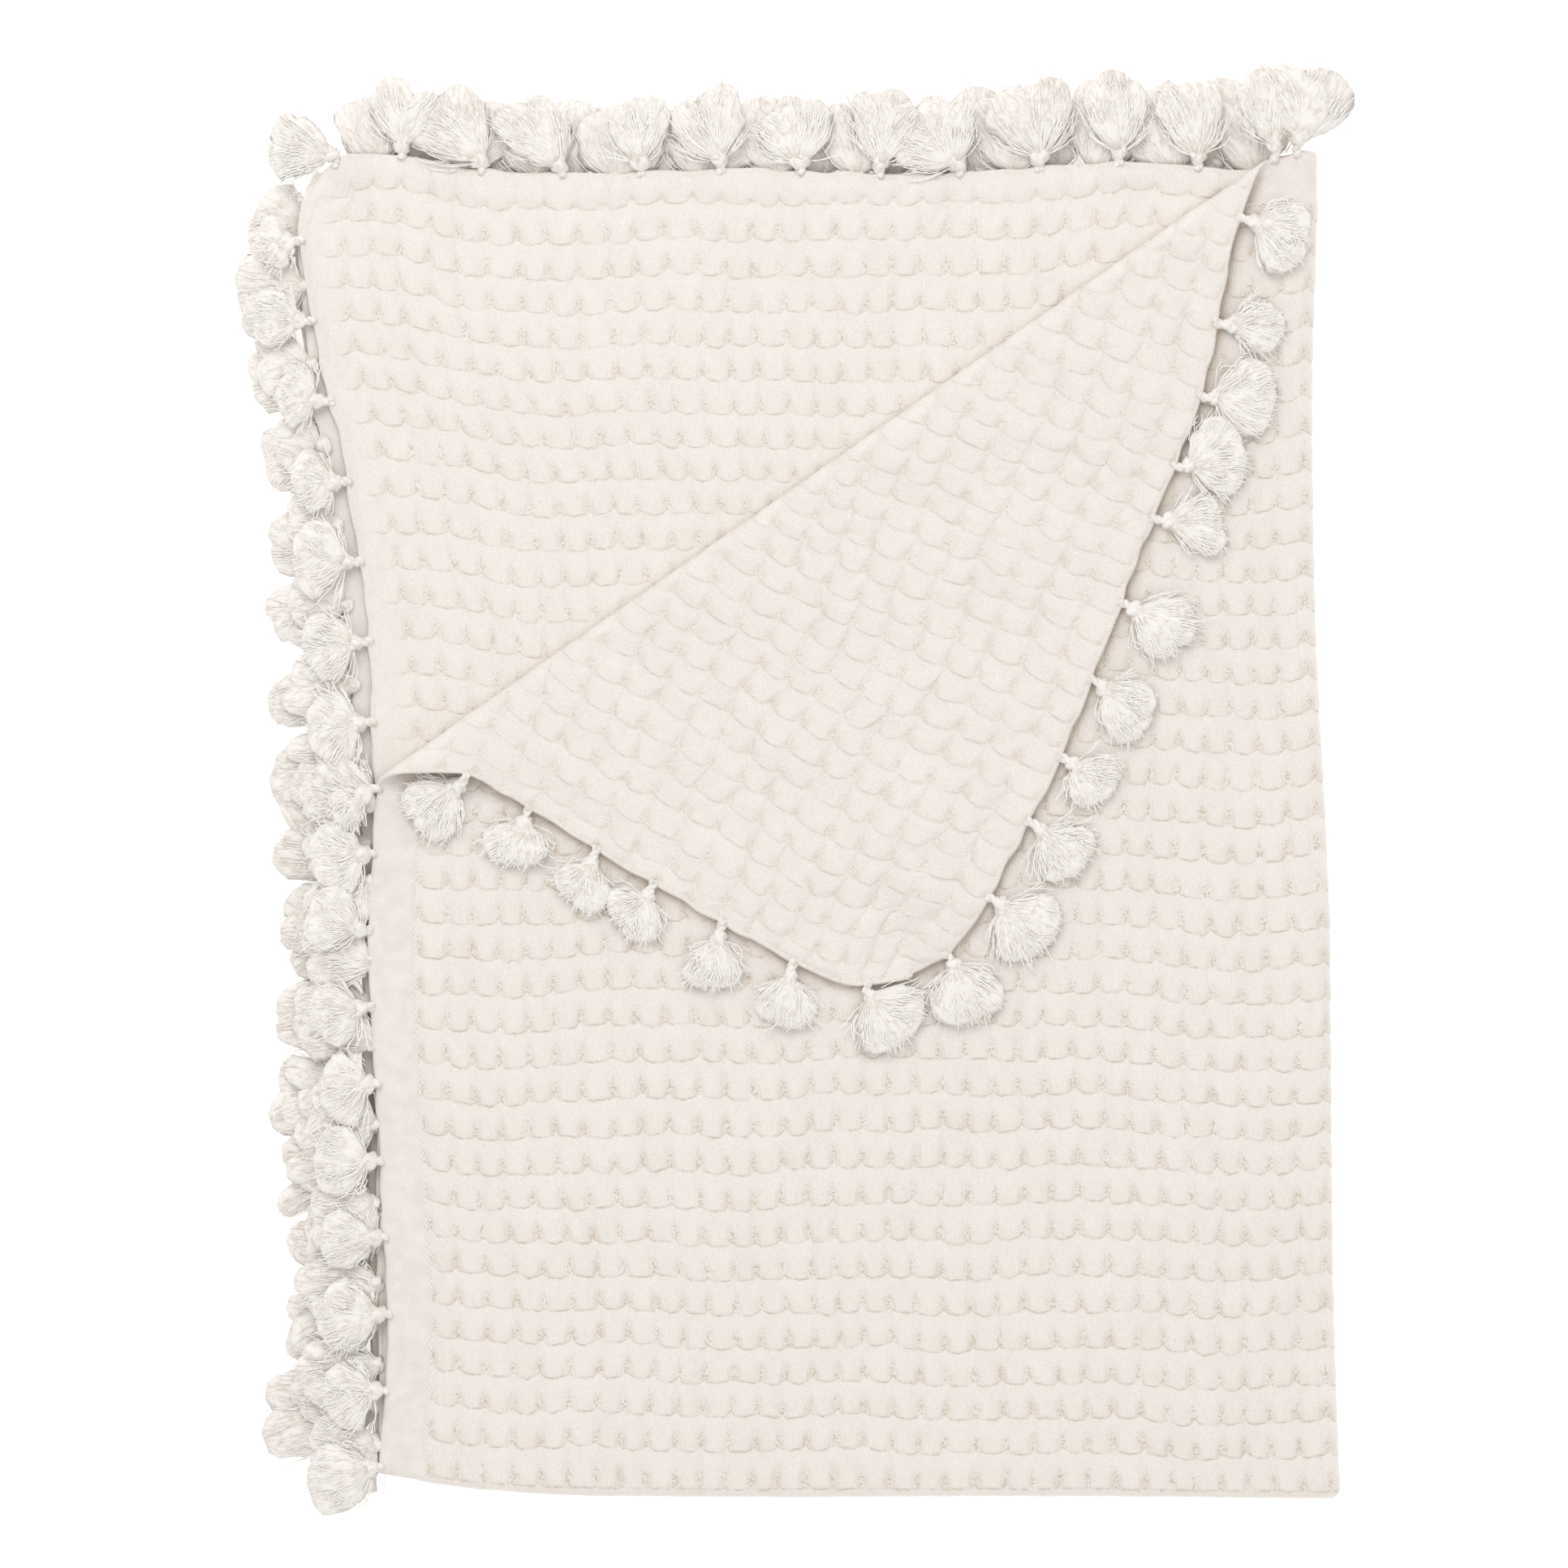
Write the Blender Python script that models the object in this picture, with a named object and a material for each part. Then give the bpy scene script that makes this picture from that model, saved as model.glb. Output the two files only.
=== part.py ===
"""Waffle baby blanket with tasselled hems, folded in four with its top corner turned back.

The blanket is one cotton sheet. It lies flat on a surface: its top edge was brought under itself at the
foot, then its right half was folded under the left half, and the free corner of the topmost layer is
turned back over a slanting crease. Tassels are sewn along every hem. Millimetres become metres with MM.
The photo's right is +X, the photo's top is +Y, and the blanket rests on Z = 0.
"""
from collections import namedtuple
import math

import bmesh
import bpy
import numpy as np

MM = 0.001

# Sheet: thickness in the waffle, in the plain turned hem, and at the hem's rounded edge
WAFFLE_THICKNESS = 2.8 * MM
HEM_THICKNESS = 2.0 * MM
EDGE_THICKNESS = 1.2 * MM
HEM_WIDTH = 16.0 * MM
EDGE_ROUNDING = 1.5 * MM
HEM_STEP = 2.5 * MM
LAYER_GAP = 0.6 * MM
LAYER_PITCH = WAFFLE_THICKNESS + LAYER_GAP

# Quarter panel, hem to fold, before the edges' own unevenness
PANEL_WIDTH = 366.0 * MM
PANEL_HEIGHT = 508.0 * MM
RIGHT_FOLD_STEPS = 6
FOOT_FOLD_STEPS = 4

# Grid lines of each half, mm from its fold: (up to this distance, cells); closer together by the crease
LEFT_HALF_CELLS = ((85, 6), (318, 5))
RIGHT_HALF_CELLS = ((318, 7),)
UPPER_HALF_CELLS = ((255, 5), (345, 6), (460, 3))
LOWER_HALF_CELLS = ((460, 9),)

# Folds: the foot fold turns each pair of layers, the right fold turns the pairs round each other
FOOT_FOLD_RADIUS = LAYER_PITCH / 2
RIGHT_FOLD_RADIUS = LAYER_PITCH / 2
OUTER_FOLD_REACH = 1.5 * LAYER_PITCH + WAFFLE_THICKNESS / 2
FOOT_FOLD_REACH = FOOT_FOLD_RADIUS + WAFFLE_THICKNESS / 2
STACK_CENTRE = 1.5 * LAYER_PITCH + WAFFLE_THICKNESS / 2
FOOT_ARC = math.pi * FOOT_FOLD_RADIUS / 2
RIGHT_ARC = math.pi * (RIGHT_FOLD_RADIUS + FOOT_FOLD_RADIUS) / 2

# Nominal rectangle that the folded stack fills, used to read the edge tables
STACK_LEFT, STACK_RIGHT = -158.0 * MM, 198.0 * MM
STACK_FOOT, STACK_TOP = -270.5 * MM, 237.0 * MM

# Outline of the folds, mm: (y, x) down the right fold and (x, y) along the foot fold
RIGHT_EDGE = ((-272, 212.5), (-198, 210.0), (-98, 209.0), (-49, 208.4), (0, 206.0), (50, 203.4), (100, 202.2),
              (150, 201.8), (199, 203.4), (236, 204.4))
FOOT_EDGE = ((-158, -265.0), (-132, -269.2), (-94, -272.6), (-50, -273.4), (100, -273.3), (203, -274.2))

# Left hem of each layer, mm: (y, x) from the foot up
LEFT_HEM = {
    "top": ((-268, -154.9), (-247, -153.3), (-206, -151.4), (-168, -153.9), (-111, -156.7), (-94, -158.0),
            (-30, -157.6), (0, -154.5), (14, -148.0), (32, -143.0), (59, -146.2), (89, -152.0), (115, -156.8),
            (144, -161.6), (174, -166.4), (240, -169.0)),
    "second": ((-268, -154.9), (-100, -156.5), (14, -157.6), (64, -160.1), (100, -165.7), (127, -170.0),
               (149, -176.0), (166, -179.6), (195, -184.3), (240, -186.0)),
    "third": ((-268, -157.0), (-198, -158.4), (-151, -159.3), (-98, -160.4), (-28, -161.5), (10, -164.0),
              (53, -167.7), (109, -174.5), (130, -178.0), (152, -181.5), (195, -185.5), (240, -186.0)),
    "under": ((-268, -157.0), (-198, -159.4), (-151, -160.5), (-98, -161.5), (-28, -162.5), (10, -165.2),
              (53, -169.0), (109, -175.5), (130, -179.0), (152, -182.5), (195, -186.5), (240, -187.0)),
}

# Top hem of each layer, mm: (x, y) from left to right
TOP_HEM = {
    "top": ((-166, 231.0), (-136, 233.5), (-106, 236.8), (-60, 242.6), (0, 244.6), (35, 245.0), (65, 246.0),
            (93, 246.0), (122, 242.0), (150, 237.3), (172, 236.5), (190, 238.5), (198, 240.5)),
    "second": ((-186, 238.0), (-138, 240.5), (-118, 239.0), (-100, 234.8), (-75, 232.5), (0, 233.9),
               (70, 232.2), (104, 234.5), (135, 236.6), (178, 233.8), (198, 233.6)),
    "third": ((-186, 236.0), (-138, 237.5), (-100, 233.0), (0, 232.5), (198, 233.6)),
    "under": ((-186, 235.5), (-100, 232.5), (60, 232.2), (150, 236.0), (198, 240.5)),
}
CORNER_RADIUS = {"top": 46.0 * MM, "second": 27.0 * MM, "third": 27.0 * MM, "under": 27.0 * MM}

# Crease of the turned-back corner: its outer line runs from the left hem up to the top hem
CREASE_LEFT = np.array((-152.7, 3.0)) * MM
CREASE_RIGHT = np.array((173.8, 230.5)) * MM
CREASE_RADIUS = 2.4 * MM
CREASE_STEPS = 3
FLAP_GAP = 0.9 * MM
FLAP_SETTLE = 30.0 * MM
ARCH_CENTRE = np.array((-134.5, 5.5)) * MM
ARCH_REACH = 24.0 * MM
ARCH_HEIGHT = 5.0 * MM

# Low unevenness of the stack, as a share of the height above the surface
SWELL_SHARE = 0.04

# Tassel: backing strip along a hem, then neck, knotted head and a skirt parted into locks
FIT_GAP = 0.3 * MM
STRIP_WIDTH = 1.4 * MM
STRIP_THICKNESS = 1.6 * MM
NECK_WIDTH = 2.6 * MM
NECK_THICKNESS = 1.8 * MM
NECK_LENGTH = 4.0 * MM
HEAD_LENGTH = 5.0 * MM
HEAD_WIDTH = 6.8 * MM
HEAD_THICKNESS = 3.4 * MM
SKIRT_THICKNESS = 3.8 * MM
PILE_PITCH = 4.3 * MM

TasselRow = namedtuple("TasselRow", "layer side first pitch locks fan level headings lengths")
LooseTassel = namedtuple("LooseTassel", "side place heading length fan")

# Rows of tassels that share a strip. side: hem; first: y or x of the first root; pitch and fan: mm;
# level: place in the pile, 0 on the surface; headings: degrees from +X, and lengths: mm, for each tassel
TASSEL_ROWS = {
    "tassels_under_left": TasselRow(
        "under", "left", 216, 31.0, 2, 22, 0,
        headings=(176, 184, 180, 176, 182, 180, 178, 184, 182, 178, 180, 182, 178, 180, 184, 182),
        lengths=(19, 24, 20, 20, 21, 24, 29, 29, 29, 30, 32, 33, 33, 30, 33, 36)),
    "tassels_under_top": TasselRow(
        "under", "top", -115, 28.2, 2, 22, 0,
        headings=(95, 88, 92, 88, 95, 90, 92, 86, 94, 90, 88),
        lengths=(30, 25, 34, 29, 27, 31, 33, 33, 27, 36, 34)),
    "tassels_third_left": TasselRow(
        "third", "left", 188, 31.0, 2, 22, 1,
        headings=(186, 178, 184, 180, 178, 182, 188, 184, 180, 178, 180, 184, 182, 178, 184),
        lengths=(31, 24, 20, 21, 24, 29, 30, 29, 30, 33, 34, 34, 30, 33, 36)),
    "tassels_third_top": TasselRow(
        "third", "top", -129, 28.2, 2, 22, 1,
        headings=(100, 88, 94, 86, 90, 96, 88, 84, 92, 86, 90, 94),
        lengths=(29, 36, 28, 28, 29, 32, 31, 34, 36, 35, 36, 36)),
    "tassels_second_left": TasselRow(
        "second", "left", 203, 31.0, 3, 25, 2,
        headings=(192, 176, 168, 170, 174, 190, 198, 192, 190, 176, 174, 178, 186, 174, 180, 188),
        lengths=(21, 27, 25, 26, 31, 33, 33, 33, 33, 32, 34, 34, 34, 33, 36, 36)),
    "tassels_second_top": TasselRow(
        "second", "top", -149, 28.2, 3, 25, 2,
        headings=(116, 112, 104, 114, 116, 112, 96, 90, 94, 88, 92, 84),
        lengths=(25, 28, 36, 36, 31, 31, 30, 33, 34, 35, 36, 35)),
    "tassels_top_left": TasselRow(
        "top", "left", -29.7, 30.1, 3, 25, 3,
        headings=(180, 184, 190, 194, 188, 194, 190, 188, 198),
        lengths=(33, 32, 31, 33, 33, 33, 32, 34, 35)),
}

# Tassels of the turned-back corner and beside it, each its own piece. side: hem of the topmost layer;
# place: y (left hem) or x (top hem) before the corner is turned back, mm; heading: degrees; length and fan: mm
LOOSE_TASSELS = (
    LooseTassel("left", 32.5, 217, 31, 22), LooseTassel("left", 60, 256, 25, 22),
    LooseTassel("left", 90.5, 249, 24, 20), LooseTassel("left", 116, 238, 23, 20),
    LooseTassel("left", 147, 261, 26, 22), LooseTassel("left", 178.5, 263, 26, 22),
    LooseTassel("left", 214, 313, 30, 23), LooseTassel("top", -140.5, 289, 30, 22),
    LooseTassel("top", -108, 323, 32, 24), LooseTassel("top", -76.5, 314, 29, 22),
    LooseTassel("top", -50, 324, 28, 22), LooseTassel("top", -19, 319, 30, 22),
    LooseTassel("top", 11.5, 326, 31, 24), LooseTassel("top", 45, -2, 31, 22),
    LooseTassel("top", 66, 15, 30, 22), LooseTassel("top", 93.5, 5, 30, 22),
    LooseTassel("top", 121, 5, 27, 20), LooseTassel("top", 160.5, -16, 28, 24),
    LooseTassel("top", 187, 105, 36, 20),
)
# The same for tassels on the part of the topmost layer that isn't turned back
STILL_TASSELS = (
    LooseTassel("left", -4, 215, 21, 14), LooseTassel("top", 196, 76, 37, 24),
)

# Middle of the whole part on the surface, moved to the origin
PART_CENTRE = np.array((-1.36, -1.98, 0.0)) * MM


def smooth_line(place, rows):
    """Value of a smooth curve through rows of (place, value) in mm, at places in metres, in metres."""
    at, value = np.array(rows, dtype=float).T * MM
    slope = np.gradient(value, at)
    i = np.clip(np.searchsorted(at, place) - 1, 0, len(at) - 2)
    span = at[i + 1] - at[i]
    s = np.clip((place - at[i]) / span, 0.0, 1.0)
    start = value[i] * (1 + 2 * s) * (1 - s) ** 2 + slope[i] * span * s * (1 - s) ** 2
    end = value[i + 1] * (3 - 2 * s) * s ** 2 + slope[i + 1] * span * (s - 1) * s ** 2
    return start + end


def layer_name(u, v):
    """Layer of a flat point: u < 0 is the left half, v > 0 the half whose hems end on top and bottom."""
    if u < 0:
        return "top" if v > 0 else "second"
    return "under" if v > 0 else "third"


def round_corner(in_from_side, in_from_end, radius):
    """Distances in from two hems, moved so that the square corner becomes a round one of this radius."""
    depth = min(in_from_side, in_from_end)
    if depth >= radius or max(in_from_side, in_from_end) >= radius:
        return in_from_side, in_from_end
    arc = radius - depth
    if in_from_side <= in_from_end:
        turn = math.pi / 4 * (radius - in_from_end) / arc
        return radius - arc * math.cos(turn), radius - arc * math.sin(turn)
    turn = math.pi / 4 * (radius - in_from_side) / arc
    return radius - arc * math.sin(turn), radius - arc * math.cos(turn)


def fold_in_four(u, v, w):
    """Place of a flat point: u, v from the blanket's middle lines, w across its thickness."""
    layer = layer_name(u, v)
    side, end = round_corner(PANEL_WIDTH - abs(u), PANEL_HEIGHT - abs(v), CORNER_RADIUS[layer])
    across = (PANEL_WIDTH - side - RIGHT_ARC) / (PANEL_WIDTH - RIGHT_ARC)
    along = (PANEL_HEIGHT - end - FOOT_ARC) / (PANEL_HEIGHT - FOOT_ARC)
    across, along = max(across, 0.0), max(along, 0.0)
    x_read = STACK_RIGHT + (STACK_LEFT - STACK_RIGHT) * across
    y_read = STACK_FOOT + (STACK_TOP - STACK_FOOT) * along
    x_fold = float(smooth_line(y_read, RIGHT_EDGE)) - OUTER_FOLD_REACH
    y_fold = float(smooth_line(x_read, FOOT_EDGE)) + FOOT_FOLD_REACH
    x = x_fold + (float(smooth_line(y_read, LEFT_HEM[layer])) - x_fold) * across
    y = y_fold + (float(smooth_line(x_read, TOP_HEM[layer])) - y_fold) * along
    foot_turn = math.pi / 2 * (1 + max(-1.0, min(1.0, v / FOOT_ARC)))
    y -= (FOOT_FOLD_RADIUS - w) * math.sin(foot_turn)
    rise = FOOT_FOLD_RADIUS - (FOOT_FOLD_RADIUS - w) * math.cos(foot_turn)
    side_turn = math.pi / 2 * (1 + max(-1.0, min(1.0, u / RIGHT_ARC)))
    x += (RIGHT_FOLD_RADIUS + rise) * math.sin(side_turn)
    z = STACK_CENTRE + (RIGHT_FOLD_RADIUS + rise) * math.cos(side_turn)
    return np.array((x, y, z))


TOP_LAYER_Z = STACK_CENTRE + 1.5 * LAYER_PITCH
CREASE_ALONG = (CREASE_RIGHT - CREASE_LEFT) / np.linalg.norm(CREASE_RIGHT - CREASE_LEFT)
CREASE_NORMAL = np.array((-CREASE_ALONG[1], CREASE_ALONG[0]))
CREASE_AXIS = CREASE_LEFT - CREASE_NORMAL * (CREASE_RADIUS + WAFFLE_THICKNESS / 2)


def past_crease(point):
    """Distance of a point beyond the crease's axis, towards the corner that is turned back."""
    return float(np.dot(point[:2] - CREASE_AXIS, CREASE_NORMAL))


def turn_back(point):
    """Rolls a point of the topmost layer over the crease and lays it down on the layer."""
    far = past_crease(point)
    if far <= 0:
        return point
    above = point[2] - TOP_LAYER_Z
    turn = min(far / CREASE_RADIUS, math.pi)
    beyond = far - CREASE_RADIUS * turn
    foot = point[:2] - CREASE_NORMAL * far
    flat = foot + CREASE_NORMAL * ((CREASE_RADIUS - above) * math.sin(turn) - beyond)
    z = TOP_LAYER_Z + CREASE_RADIUS - (CREASE_RADIUS - above) * math.cos(turn)
    settled = 1 - math.exp(-(beyond / FLAP_SETTLE) ** 2)
    z -= (2 * CREASE_RADIUS - WAFFLE_THICKNESS - FLAP_GAP) * settled
    arch = math.exp(-(np.linalg.norm(flat - ARCH_CENTRE) / ARCH_REACH) ** 2)
    z += ARCH_HEIGHT * arch * math.sin(turn / 2) ** 2
    return np.array((flat[0], flat[1], z))


def swell(point):
    """Low rises and hollows that all layers share, about the part's middle; the underside stays flat."""
    wave = math.sin(point[0] / 0.043 + 1.0) * math.sin(point[1] / 0.061 + 0.5)
    return np.array((point[0], point[1], point[2] * (1 + SWELL_SHARE * wave))) - PART_CENTRE


def cloth_material(name, colour, roughness):
    """Principled material of one yarn or weave."""
    material = bpy.data.materials.new(name)
    material.use_nodes = True
    shader = material.node_tree.nodes["Principled BSDF"]
    shader.inputs["Base Color"].default_value = (*colour, 1.0)
    shader.inputs["Roughness"].default_value = roughness
    shader.inputs["Metallic"].default_value = 0.0
    return material


def finish(bm, name, material):
    """Turns a bmesh into a named object of the scene."""
    bmesh.ops.recalc_face_normals(bm, faces=bm.faces)
    mesh = bpy.data.meshes.new(name)
    bm.to_mesh(mesh)
    bm.free()
    mesh.materials.append(material)
    piece = bpy.data.objects.new(name, mesh)
    bpy.context.collection.objects.link(piece)
    return piece


def half_lines(length, arc, cells):
    """Grid lines of one half of the sheet, as distances from its fold out to the hem."""
    lines = [arc]
    for reach, count in cells:
        lines += list(np.linspace(lines[-1], reach * MM, count + 1)[1:])
    return lines + [length - inward for inward in (28.0 * MM, HEM_WIDTH + HEM_STEP, HEM_WIDTH, EDGE_ROUNDING, 0.0)]


def grid_lines(length, arc, steps, low_cells, high_cells):
    """Grid lines across the whole sheet, from one hem over the fold to the other."""
    low = [-place for place in half_lines(length, arc, low_cells)][::-1]
    fold = list(np.linspace(-arc, arc, steps + 1))[1:-1]
    return low + fold + half_lines(length, arc, high_cells)


GRID_U = grid_lines(PANEL_WIDTH, RIGHT_ARC, RIGHT_FOLD_STEPS, LEFT_HALF_CELLS, RIGHT_HALF_CELLS)
GRID_V = grid_lines(PANEL_HEIGHT, FOOT_ARC, FOOT_FOLD_STEPS, LOWER_HALF_CELLS, UPPER_HALF_CELLS)


def sheet_thickness(u, v):
    """Thickness by distance in from the nearest hem: rounded edge, plain hem, then the waffle."""
    depth = min(PANEL_WIDTH - abs(u), PANEL_HEIGHT - abs(v))
    places = (0.0, EDGE_ROUNDING, HEM_WIDTH, HEM_WIDTH + HEM_STEP)
    return float(np.interp(depth, places, (EDGE_THICKNESS, HEM_THICKNESS, HEM_THICKNESS, WAFFLE_THICKNESS)))


def make_cloth(material):
    """The whole sheet as one closed solid: flat grid, folded in four, creased, and its corner rolled back."""
    us, vs = GRID_U, GRID_V
    bm = bmesh.new()
    skins = []
    for face_side in (-0.5, 0.5):
        skins.append([[bm.verts.new(fold_in_four(u, v, face_side * sheet_thickness(u, v))) for v in vs]
                      for u in us])
    for skin in skins:
        for i in range(len(us) - 1):
            for j in range(len(vs) - 1):
                bm.faces.new((skin[i][j], skin[i + 1][j], skin[i + 1][j + 1], skin[i][j + 1]))
    last_u, last_v = len(us) - 1, len(vs) - 1
    rim = [(i, 0) for i in range(last_u)] + [(last_u, j) for j in range(last_v)]
    rim += [(i, last_v) for i in range(last_u, 0, -1)] + [(0, j) for j in range(last_v, 0, -1)]
    for (i, j), (k, m) in zip(rim, rim[1:] + rim[:1]):
        bm.faces.new((skins[0][i][j], skins[0][k][m], skins[1][k][m], skins[1][i][j]))
    crease_top_layer(bm)
    for vert in bm.verts:
        point = np.array(vert.co)
        if is_top_layer(point[2]):
            point = turn_back(point)
        vert.co = swell(point)
    return finish(bm, "cloth", material)


def is_top_layer(z):
    """True for heights within the topmost layer of the stack."""
    return z > TOP_LAYER_Z - WAFFLE_THICKNESS / 2 - LAYER_GAP / 2


def crease_top_layer(bm):
    """Cuts grid lines into the topmost layer along the crease, so that it can roll over."""
    for step in range(CREASE_STEPS + 1):
        offset = math.pi * CREASE_RADIUS * step / CREASE_STEPS
        on_line = CREASE_AXIS + CREASE_NORMAL * offset
        faces = [f for f in bm.faces if all(is_top_layer(v.co.z) for v in f.verts)]
        edges = {e for f in faces for e in f.edges}
        verts = {v for f in faces for v in f.verts}
        bmesh.ops.bisect_plane(bm, geom=[*verts, *edges, *faces], dist=1e-7,
                               plane_co=(*on_line, 0.0), plane_no=(*CREASE_NORMAL, 0.0))


def flat_line(side, place):
    """Distance from the fold, in the flat sheet, of a place (y or x on the folded stack) along a hem."""
    if side == "left":
        return (place - STACK_FOOT) / (STACK_TOP - STACK_FOOT) * (PANEL_HEIGHT - FOOT_ARC) + FOOT_ARC
    return (STACK_RIGHT - place) / (STACK_RIGHT - STACK_LEFT) * (PANEL_WIDTH - RIGHT_ARC) + RIGHT_ARC


def hem_lines(layer, side):
    """The cloth's own grid lines that end on a layer's hem, as distances from the fold, rising."""
    if side == "left":
        return sorted(abs(v) for v in GRID_V if (v > 0) == (layer in ("top", "under")) and v != 0)
    return sorted(abs(u) for u in GRID_U if (u < 0) == (layer in ("top", "second")) and u != 0)


def section_at_line(layer, side, line, turned):
    """Four corners of the backing strip beside one grid line: inner low, inner high, outer high, outer low."""
    sign_u = -1 if layer in ("top", "second") else 1
    sign_v = 1 if layer in ("top", "under") else -1
    corners = []
    far_side = FIT_GAP + STRIP_WIDTH
    for outward, w in ((FIT_GAP, -0.5), (FIT_GAP, 0.5), (far_side, 0.5), (far_side, -0.5)):
        if side == "left":
            flat = (sign_u * (PANEL_WIDTH + outward), sign_v * line, w * STRIP_THICKNESS)
        else:
            flat = (sign_u * line, sign_v * (PANEL_HEIGHT + outward), w * STRIP_THICKNESS)
        point = fold_in_four(*flat)
        corners.append(turn_back(point) if turned else point)
    corners = np.array(corners)
    if corners[0][2] > corners[1][2]:
        corners = corners[[1, 0, 3, 2]]
    return corners


def strip_section(layer, side, line, turned):
    """The strip's section anywhere along a hem, on the straight lines between the cloth's grid lines."""
    lines = hem_lines(layer, side)
    k = min(max(int(np.searchsorted(lines, line)), 1), len(lines) - 1)
    share = (line - lines[k - 1]) / (lines[k] - lines[k - 1])
    near = section_at_line(layer, side, lines[k - 1], turned)
    far = section_at_line(layer, side, lines[k], turned)
    return near + (far - near) * share


def bridge(bm, ring_a, ring_b):
    """Joins two rings of four points with side walls."""
    for k in range(4):
        bm.faces.new((ring_a[k], ring_a[(k + 1) % 4], ring_b[(k + 1) % 4], ring_b[k]))


def box_ring(bm, centre, across, width, thickness):
    """Four points of an upright section: low left, low right, high right, high left of the heading."""
    points = []
    for side, up in ((-0.5, -0.5), (0.5, -0.5), (0.5, 0.5), (-0.5, 0.5)):
        place = centre + across * (side * width)
        points.append(bm.verts.new(swell(place + np.array((0, 0, up * thickness)))))
    return points


def tassel(bm, root_ring, root, outward, heading, length, fan, locks, body_z):
    """Neck, knotted head and parted skirt, grown from the four points of root_ring."""
    ahead = np.array((math.cos(math.radians(heading)), math.sin(math.radians(heading)), 0.0))
    across = np.array((ahead[1], -ahead[0], 0.0))
    if np.dot(across, root_ring[1].co - root_ring[0].co) < 0:
        root_ring = [root_ring[1], root_ring[0], root_ring[3], root_ring[2]]

    def on_axis(distance, rise):
        """Point on the tassel's bent centre line: straight out from the hem, then along the heading."""
        out = min(distance, NECK_LENGTH / 2)
        point = root + outward * out + ahead * (distance - out)
        return np.array((point[0], point[1], root[2] + (body_z - root[2]) * rise))

    neck = box_ring(bm, on_axis(NECK_LENGTH, 0.55), across, NECK_WIDTH, NECK_THICKNESS)
    bridge(bm, root_ring, neck)
    head = box_ring(bm, on_axis(NECK_LENGTH + HEAD_LENGTH * 0.5, 1.0), across, HEAD_WIDTH, HEAD_THICKNESS)
    bridge(bm, neck, head)
    skirt_start = NECK_LENGTH + HEAD_LENGTH
    base = on_axis(skirt_start, 1.0)
    low, high = [], []
    for k in range(locks + 1):
        place = base + across * (HEAD_WIDTH * (k / locks - 0.5))
        half = np.array((0, 0, HEAD_THICKNESS / 2))
        low.append(bm.verts.new(swell(place - half)))
        high.append(bm.verts.new(swell(place + half)))
    bm.faces.new((head[0], head[1], *low[::-1]))
    bm.faces.new((head[3], head[2], *high[::-1]))
    bm.faces.new((head[1], head[2], high[-1], low[-1]))
    bm.faces.new((head[0], head[3], high[0], low[0]))
    reach = length - skirt_start
    for k in range(locks):
        spread = (k + 0.5) / locks - 0.5
        start = [low[k], low[k + 1], high[k + 1], high[k]]
        middle = base + ahead * (reach * 0.55) + across * (spread * fan * 0.82)
        tip = base + ahead * (reach * (1 - 0.25 * abs(spread))) + across * (spread * fan)
        mid_ring = box_ring(bm, middle, across, fan * 0.72 / locks, SKIRT_THICKNESS)
        tip_ring = box_ring(bm, tip, across, fan * 0.8 / locks, SKIRT_THICKNESS * 0.8)
        bridge(bm, start, mid_ring)
        bridge(bm, mid_ring, tip_ring)
        bm.faces.new(tip_ring)


def make_tassel_row(name, row, material):
    """Strip along one hem with its tassels fused to it, one node."""
    step = -row.pitch if row.side == "left" else row.pitch
    roots = [flat_line(row.side, (row.first + step * k) * MM) for k in range(len(row.headings))]
    shape_of = dict(zip(roots, zip(row.headings, row.lengths)))
    edges = [roots[0] + NECK_WIDTH * 1.5, roots[-1] - NECK_WIDTH * 1.5]
    clear = [line for line in hem_lines(row.layer, row.side)
             if edges[1] < line < edges[0] and min(abs(line - root) for root in roots) > NECK_WIDTH]
    places = edges + clear + [root + NECK_WIDTH * half for root in roots for half in (-0.5, 0.5)]
    places.sort(reverse=True)
    sections = [strip_section(row.layer, row.side, place, False) for place in places]
    bm = bmesh.new()
    rings = [[bm.verts.new(swell(point)) for point in section] for section in sections]
    for k in range(len(rings) - 1):
        a, b = rings[k], rings[k + 1]
        bm.faces.new((a[0], a[1], b[1], b[0]))
        bm.faces.new((a[1], a[2], b[2], b[1]))
        bm.faces.new((a[3], a[0], b[0], b[3]))
        root = next((root for root in roots if places[k + 1] < root < places[k]
                     and places[k] - places[k + 1] < NECK_WIDTH * 1.01), None)
        if root is None:
            bm.faces.new((a[2], a[3], b[3], b[2]))
            continue
        outer = np.concatenate((sections[k][2:], sections[k + 1][2:])).mean(axis=0)
        inner = np.concatenate((sections[k][:2], sections[k + 1][:2])).mean(axis=0)
        outward = (outer - inner) * np.array((1, 1, 0))
        outward /= np.linalg.norm(outward)
        body_z = SKIRT_THICKNESS / 2 + row.level * PILE_PITCH
        heading, length = shape_of[root]
        tassel(bm, [a[3], b[3], b[2], a[2]], outer, outward, heading, length * MM, row.fan * MM, row.locks, body_z)
    bm.faces.new(rings[0])
    bm.faces.new(rings[-1])
    return finish(bm, name, material)


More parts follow.
